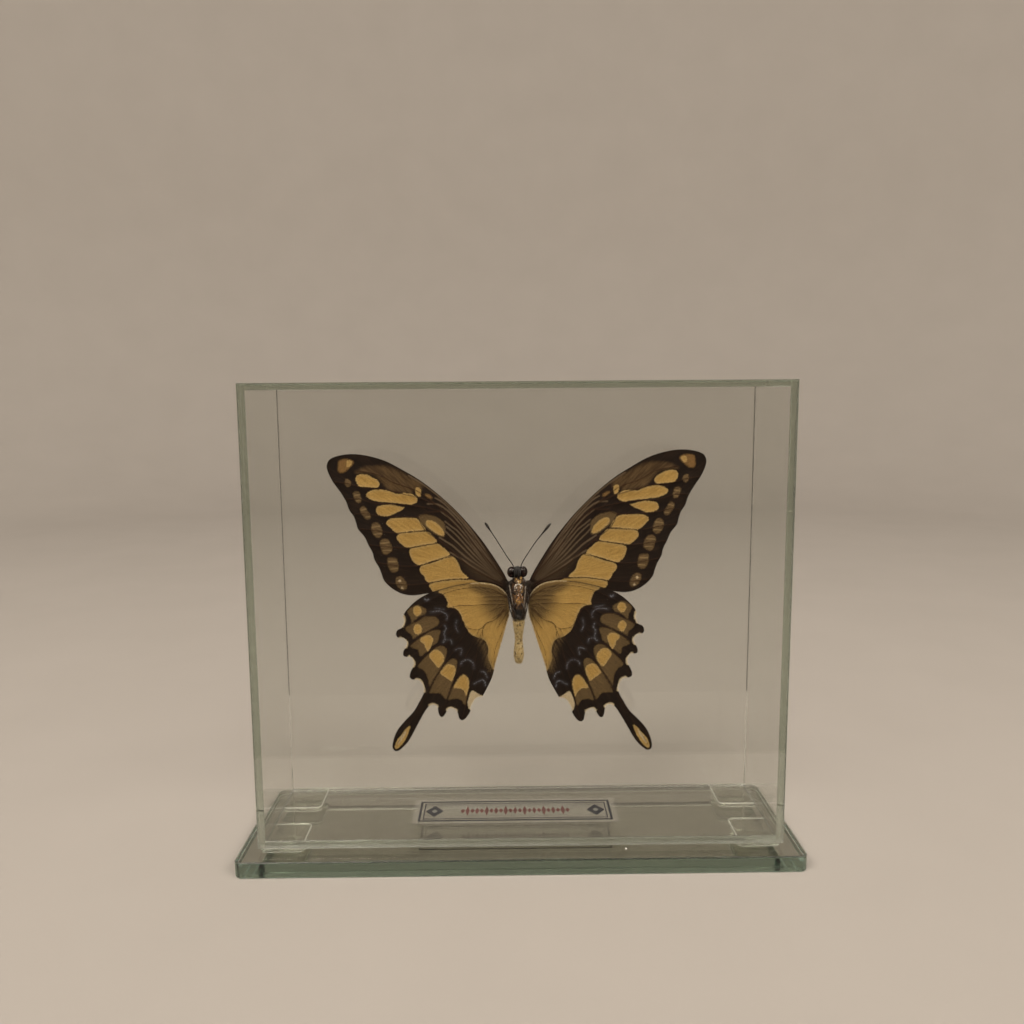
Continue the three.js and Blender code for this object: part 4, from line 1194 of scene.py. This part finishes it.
def body(chitin, eye, palp):
    """Trunk with furrowed abdomen, head, faceted eyes and palps."""
    bm = bmesh.new()
    profile = [(0, TRUNK_ENDS[0])]
    for radius, z in spline(TRUNK, 5):
        furrow = sum(math.exp(-((z - s) / 0.16) ** 2) for s in SEGMENTS)
        profile.append((max(0.02, radius * (1 - 0.07 * furrow)), z))
    profile.append((0, TRUNK_ENDS[1]))
    spun(bm, profile, 48, squash=(1, TRUNK_DEPTH, 1))
    for vert in bm.verts:
        lumps = noise.noise(vert.co * 0.9) * 0.16 + noise.noise(vert.co * 2.7) * 0.05
        vert.co.x *= 1 + lumps * 0.6
        vert.co.y *= 1 + lumps * 0.6
        if vert.co.z < ABDOMEN_TOP and vert.co.y < 0:
            vert.co.y *= BELLY_SHARE
    bmesh.ops.translate(bm, vec=TRUNK_PLACE, verts=bm.verts)
    for place, size, slot in ((HEAD, HEAD_SIZE, 2), (EYES[0], EYE_SIZE, 1), (EYES[1], EYE_SIZE, 1)):
        middle = Vector(place) + Z * SPECIMEN_HEIGHT
        made = bmesh.ops.create_icosphere(bm, subdivisions=4, radius=1, matrix=placed(middle, size))
        for face in {f for v in made["verts"] for f in v.link_faces}:
            face.material_index = slot
    for side in (-1, 1):
        line = spline([(HEAD.x + side * x, y, z) for x, y, z in PALP], 5)
        radii = np.interp(range(len(line)), [0, 4, 10, 15], [0.3, 0.52, 0.46, 0.16])
        sweep(bm, lifted(line), radii, 10, slot=2)
    finish_piece("body_trunk", bm, [chitin, eye, palp], "body")


def lifted(points):
    """Points given from the specimen's origin, brought to their height above the table."""
    return [Vector(p) + Z * SPECIMEN_HEIGHT for p in points]


# Legs folded against the chest: the joints from hip to foot, and the radius at each.
LEGS = {
    "fore_leg_left": [(-0.9, -3.6, 8.4), (-2.2, -4.2, 9.9), (-2.95, -4.5, 8.2), (-2.35, -4.7, 4.6),
                      (-1.85, -4.8, 2.1), (-1.6, -4.7, 0.6)],
    "fore_leg_right": [(0.7, -3.6, 8.4), (1.7, -4.2, 9.7), (2.1, -4.5, 8), (1.75, -4.7, 4.2),
                       (1.45, -4.8, 1.2), (1.1, -4.7, -0.2)],
    "middle_leg_left": [(-1, -3.9, 5.2), (-2.6, -4.3, 6.4), (-3.4, -4.2, 4.4), (-2.9, -4.4, 0.8),
                        (-2.2, -4.4, -1.6), (-1.5, -4.2, -2.6)],
    "middle_leg_right": [(0.8, -3.9, 5.2), (2.2, -4.3, 6.2), (2.9, -4.2, 4), (2.4, -4.4, 0.4),
                         (1.9, -4.4, -1.8), (1.3, -4.2, -2.8)],
    "hind_leg_left": [(-0.9, -3.8, 2.4), (-1.9, -4.1, 0.6), (-1.2, -4.2, -1.2), (-0.5, -4.2, -2),
                      (0.1, -4.1, -2.5), (0.5, -4, -3)],
    "hind_leg_right": [(0.7, -3.8, 2.4), (1.5, -4.1, 0.6), (1.1, -4.2, -1), (0.7, -4.2, -1.8),
                       (0.5, -4.1, -2.6), (0.2, -4, -3.3)],
}
LEG_RADII = [0.34, 0.34, 0.22, 0.16, 0.12, 0.08]
SHINS = (2, 3)


def legs(dark, pale):
    """Six thin legs with swollen joints; the shins of the fore legs are dusted white."""
    bm = bmesh.new()
    for name, joints in LEGS.items():
        for i, (first, second) in enumerate(zip(joints, joints[1:])):
            thick, thin = LEG_RADII[i], LEG_RADII[i + 1]
            line = [Vector(first).lerp(Vector(second), share) for share in (0, 0.06, 0.2, 0.5, 0.8, 0.94, 1)]
            middle = (thick + thin) / 2
            radii = [0.55 * thick, thick, 0.92 * thick, middle, 0.95 * thin, 1.12 * thin, 0.6 * thin]
            sweep(bm, lifted(line), radii, 8, slot=int(name.startswith("fore") and i in SHINS))
    bmesh.ops.recalc_face_normals(bm, faces=bm.faces)
    finish_piece("legs", bm, [dark, pale])


FEELERS = {
    "antenna_left": [(-1.45, -1.9, 13.0), (-1.9, -1.75, 14.2), (-3.9, -1.95, 17.3), (-7.2, -2.1, 22.7),
                     (-10.35, -2.15, 27.6)],
    "antenna_right": [(0.65, -1.9, 13.0), (1.0, -1.75, 14.4), (2.2, -1.9, 16.6), (5.4, -2.1, 21.4),
                      (10.05, -2.15, 27.2)],
}
FEELER_RADIUS, CLUB_SWELL, CLUB_AT = 0.15, 0.27, 0.93      # the club's place is a share of the length


def feeler(node, line, material):
    """A feeler of short rings that swells to a club at its tip."""
    points = spline(line, 26)
    count = len(points)
    radii = []
    for i in range(count):
        past = i / (count - 1) - CLUB_AT
        club = math.exp(-(past / (0.065 if past < 0 else 0.06)) ** 2)
        ring = 1.07 if i % 3 else 0.88
        radii.append((FEELER_RADIUS + CLUB_SWELL * club) * ring * (0.5 if i == count - 1 else 1))
    bm = bmesh.new()
    sweep(bm, lifted(points), radii, 10)
    bmesh.ops.recalc_face_normals(bm, faces=bm.faces)
    finish_piece(node + "_rings", bm, [material], node)


CHEST_HAIRS, HEAD_HAIRS, ABDOMEN_SCALES, ROOT_HAIRS = 3600, 600, 3600, 700


def body_hair(rng, umber, sooty, straw):
    """Down on the trunk: long and grey-brown on the chest, sooty on the head, and short straw-yellow scales
    on the abdomen."""
    chest, crown, belly = [], [], []
    for _ in range(CHEST_HAIRS):
        z = rng.uniform(-3.2, 10.2)
        turn = rng.uniform(-math.pi, math.pi)
        if abs(turn) < (0.75 if z > 2.5 else 0.45) and z < 9.5:
            continue          # the glue keeps the middle of the chest bare
        root = trunk_point(z, turn, 0.97)
        out = (trunk_point(z, turn, 1.3) - root).normalized()
        flank = abs(math.sin(turn))
        length = rng.uniform(0.35, 0.75) + (0.1 + 0.05 * max(z, 0)) * flank * rng.random()
        lean = Vector((rng.uniform(-0.4, 0.4), rng.uniform(-0.3, 0.3), rng.uniform(-1.0, 0.1)))
        chest.append((root, root + (out + lean * 0.8).normalized() * length, rng.uniform(0.035, 0.06)))
    for _ in range(HEAD_HAIRS):
        turn, rise = rng.uniform(-math.pi, math.pi), rng.uniform(-0.9, 1.1)
        out = Vector((math.cos(rise) * math.sin(turn), -math.cos(rise) * math.cos(turn), math.sin(rise)))
        if abs(out.x) > 0.75:
            continue
        root = HEAD + Z * SPECIMEN_HEIGHT + out * 1.42
        lean = Vector((rng.uniform(-0.3, 0.3), rng.uniform(-0.2, 0.2), rng.uniform(-0.2, 0.8)))
        crown.append((root, root + (out + lean).normalized() * rng.uniform(0.3, 0.75), 0.04))
    for _ in range(ABDOMEN_SCALES):
        z = rng.uniform(-17.4, -3.4)
        turn = rng.uniform(-math.pi, math.pi)
        root = trunk_point(z, turn, 0.9)
        if z < ABDOMEN_TOP and abs(turn) < math.pi / 2:
            root.y = TRUNK_PLACE.y + (root.y - TRUNK_PLACE.y) * BELLY_SHARE
        out = (trunk_point(z, turn, 1.3) - root).normalized()
        lean = Vector((rng.uniform(-0.3, 0.3), rng.uniform(-0.3, 0.3), -1.1))
        belly.append((root, root + (out * 0.75 + lean).normalized() * rng.uniform(0.3, 0.62), 0.07))
    hair_coat("chest_down", chest, umber)
    hair_coat("head_down", crown, sooty)
    hair_coat("abdomen_scales", belly, straw)


def wing_root_hair(rng, umber):
    """Hair that spreads from the chest over the roots of the wings."""
    hairs = []
    for side in (-1, 1):
        for _ in range(ROOT_HAIRS):
            z = rng.uniform(2.2, 9.2)
            out = abs(rng.gauss(0, 0.8)) * z / 6
            root = Vector((side * (2.1 + out * 0.6), -1.6 - rng.uniform(0, 0.5), z + SPECIMEN_HEIGHT))
            lean = Vector((side * rng.uniform(0.3, 1.5), rng.uniform(-0.35, 0.2), rng.uniform(-1, 0.35)))
            hairs.append((root, root + lean, rng.uniform(0.03, 0.05)))
    hair_coat("wing_root_down", hairs, umber)


# ---------------------------------------------------------------- studio

def wall_board():
    """Emulsion paint rolled on board: matt and pale, with a faint roller texture."""
    material, node, place = start("rolled_matt_emulsion")
    peel = node("TexNoise", blotches(place, 1.2))
    clouds = node("TexNoise", blotches(place, 60))
    surface = node("BsdfPrincipled", {
        "Base Color": node("Mix", {0: clouds, 6: "#aca7a0", 7: "#b2ada6"}, **COLOURS),
        "Roughness": 0.85, "Specular IOR Level": 0.2,
        "Normal": node("Bump", {"Height": peel, "Strength": 0.1, "Distance": 0.0002}),
    })
    node("OutputMaterial", {"Surface": surface})
    return material


def black_velvet():
    """Black velvet, which gives back almost no light. Only what the near and far panes mirror meets it."""
    material, node, place = start("black_velvet")
    pile = node("TexNoise", blotches(place, 0.4))
    velvet = node("BsdfPrincipled", {
        "Base Color": node("Mix", {0: pile, 6: "#0b0a0a", 7: "#151413"}, **COLOURS),
        "Roughness": 1, "Specular IOR Level": 0,
    })
    mirrored = node("Math", (node("LightPath", output="Glossy Depth"), 0.5), operation="GREATER_THAN")
    near_enough = node("Math", (node("LightPath", output="Transmission Depth"), 4.5), operation="LESS_THAN")
    seen = node("Math", (mirrored, near_enough), operation="MULTIPLY")
    node("OutputMaterial", {"Surface": node("MixShader", (seen, node("BsdfTransparent"), velvet))})
    return material


FLOOR_GAP = 0.12                          # the floor lies below the mirror, so the two never share a plane
FLOOR_RADIUS, BEND_RADIUS, WALL_TOP = 900, 500, 1900
CARD_WIDE, CARD_DEEP, CARD_HIGH = 800, 750, 190
CARD_NEAR, CARD_FAR = 0.34, 850           # its share of the width by the display, and how far it reaches
# Soft boxes: place, what they aim at, size (all in metres), power in watts and colour.
SOFT_BOXES = {
    "overhead_softbox": ((0, 0.1, 1.75), (0, 0.1, 0), 1.7, 5, "#fff6ec"),
    "front_left_softbox": ((-0.8, -0.95, 1.15), (0, 0, 0.08), 1.1, 32, "#fff4e9"),
    "front_right_softbox": ((0.9, -0.85, 1.0), (0, 0, 0.08), 0.9, 19, "#fff4e9"),
}


def sweep_and_card():
    """A round seamless sweep, and a black card in front of the display that only reflections see. The card
    keeps the pane facing the camera free of glare."""
    bm = bmesh.new()
    bend = [(FLOOR_RADIUS + BEND_RADIUS * math.sin(a), BEND_RADIUS - BEND_RADIUS * math.cos(a))
            for a in np.linspace(0, math.pi / 2, 12)]
    profile = [(0, 0), (FLOOR_RADIUS / 2, 0)] + bend + [(FLOOR_RADIUS + BEND_RADIUS, WALL_TOP)]
    spun(bm, [(radius, height - FLOOR_GAP) for radius, height in profile], 96)
    board = as_object("sweep", bm, [wall_board()], True)

    bm = bmesh.new()
    flat = placed((0, CARD_DEEP / 2 - CARD_FAR, 1), (CARD_WIDE, CARD_DEEP, 1))
    bmesh.ops.create_grid(bm, x_segments=1, y_segments=1, size=0.5, matrix=flat)
    for vert in bm.verts:
        if vert.co.y > -CARD_FAR / 2:
            vert.co.x *= CARD_NEAR
    upright = placed((0, -CARD_FAR, 1 + CARD_HIGH / 2), (CARD_WIDE, 1, CARD_HIGH)) @ Matrix.Rotation(
        math.radians(90), 4, "X")
    bmesh.ops.create_grid(bm, x_segments=1, y_segments=1, size=0.5, matrix=upright)
    card = as_object("black_card", bm, [black_velvet()], False)
    card.visible_camera = card.visible_diffuse = card.visible_shadow = False


def light_and_air():
    """Three soft boxes, a dim surround, and as many ray bounces as glass in front of glass needs."""
    for name, (place, aim, size, power, colour) in SOFT_BOXES.items():
        data = bpy.data.lights.new(name, "AREA")
        data.size = size
        data.energy = power
        data.color = linear(colour)[:3]
        lamp = bpy.data.objects.new(name, data)
        lamp.location = place
        lamp.rotation_euler = (Vector(aim) - Vector(place)).to_track_quat("-Z", "Y").to_euler()
        scene.collection.objects.link(lamp)
    world = bpy.data.worlds.new("studio_air")
    world.use_nodes = True
    background = world.node_tree.nodes["Background"]
    background.inputs["Color"].default_value = linear("#e8dfd4")
    background.inputs["Strength"].default_value = 0.12
    scene.world = world
    scene.view_settings.view_transform = "Standard"
    scene.cycles.max_bounces = 24
    scene.cycles.diffuse_bounces = 5
    scene.cycles.glossy_bounces = 12
    scene.cycles.transmission_bounces = 24
    scene.cycles.transparent_max_bounces = 24


# ---------------------------------------------------------------- the whole display

OUTER_EDGE = 16      # the point of the forewing's outline where its fringe starts


def display():
    """Case, base, label and butterfly, made in the order in which the random hairs are drawn."""
    mirror_base()
    glass = float_glass("clear_float_glass", "#f9f9f7", "#b8cbb6", 21, 0.02)
    for node in ("pane_near", "pane_far", "pane_left", "pane_right", "pane_top", "pane_bottom"):
        pane(node, glass)
    gel = clear_gel()
    for seed, node in enumerate(("pad_front_left", "pad_front_right", "pad_rear_left", "pad_rear_right")):
        pad(node, gel, seed)
    label()
    glue_post()
    dust_crumb()

    scales, fringe_material = wing_scales(), fringe_scales()
    rng = random.Random(11)
    for side in (-1, 1):
        wing("forewing", side, FOREWING, FOREWING_SPOTS, FOREWING_VEINS, FOREWING_STREAKS, [], [], scales)
        wing("hindwing", side, HINDWING, HINDWING_SPOTS, HINDWING_VEINS_AND_HAIR_SHADOWS, [], HINDWING_CRESCENTS,
             PALE_NOTCHES, scales)
        fringe("forewing", side, [FOREWING[0][OUTER_EDGE:]], [], fringe_material, rng)
        fringe("hindwing", side, HINDWING[1:4], PALE_NOTCHES, fringe_material, rng)

    dark = bare_chitin("dark_leg_chitin", "#150e0a", "#2c1f17", 0.35)
    body(body_scales(), bare_chitin("faceted_eye_chitin", "#090504", "#26130d", 0.12),
         insect_hair("palp_scales", "#090706", "#15100d"))
    legs(dark, bare_chitin("white_dusted_leg_chitin", "#5d544b", "#8c8478", 0.5))
    umber = insect_hair("umber_down", "#110b08", "#3f3227")
    body_hair(rng, umber, insect_hair("sooty_down", "#070504", "#17110d"),
              insect_hair("straw_scales", "#8c7343", "#c2b184"))
    wing_root_hair(rng, umber)
    black = bare_chitin("ringed_feeler_chitin", "#0e0a08", "#221912", 0.4)
    for node, line in FEELERS.items():
        feeler(node, line, black)


place_camera()
sweep_and_card()
light_and_air()
display()
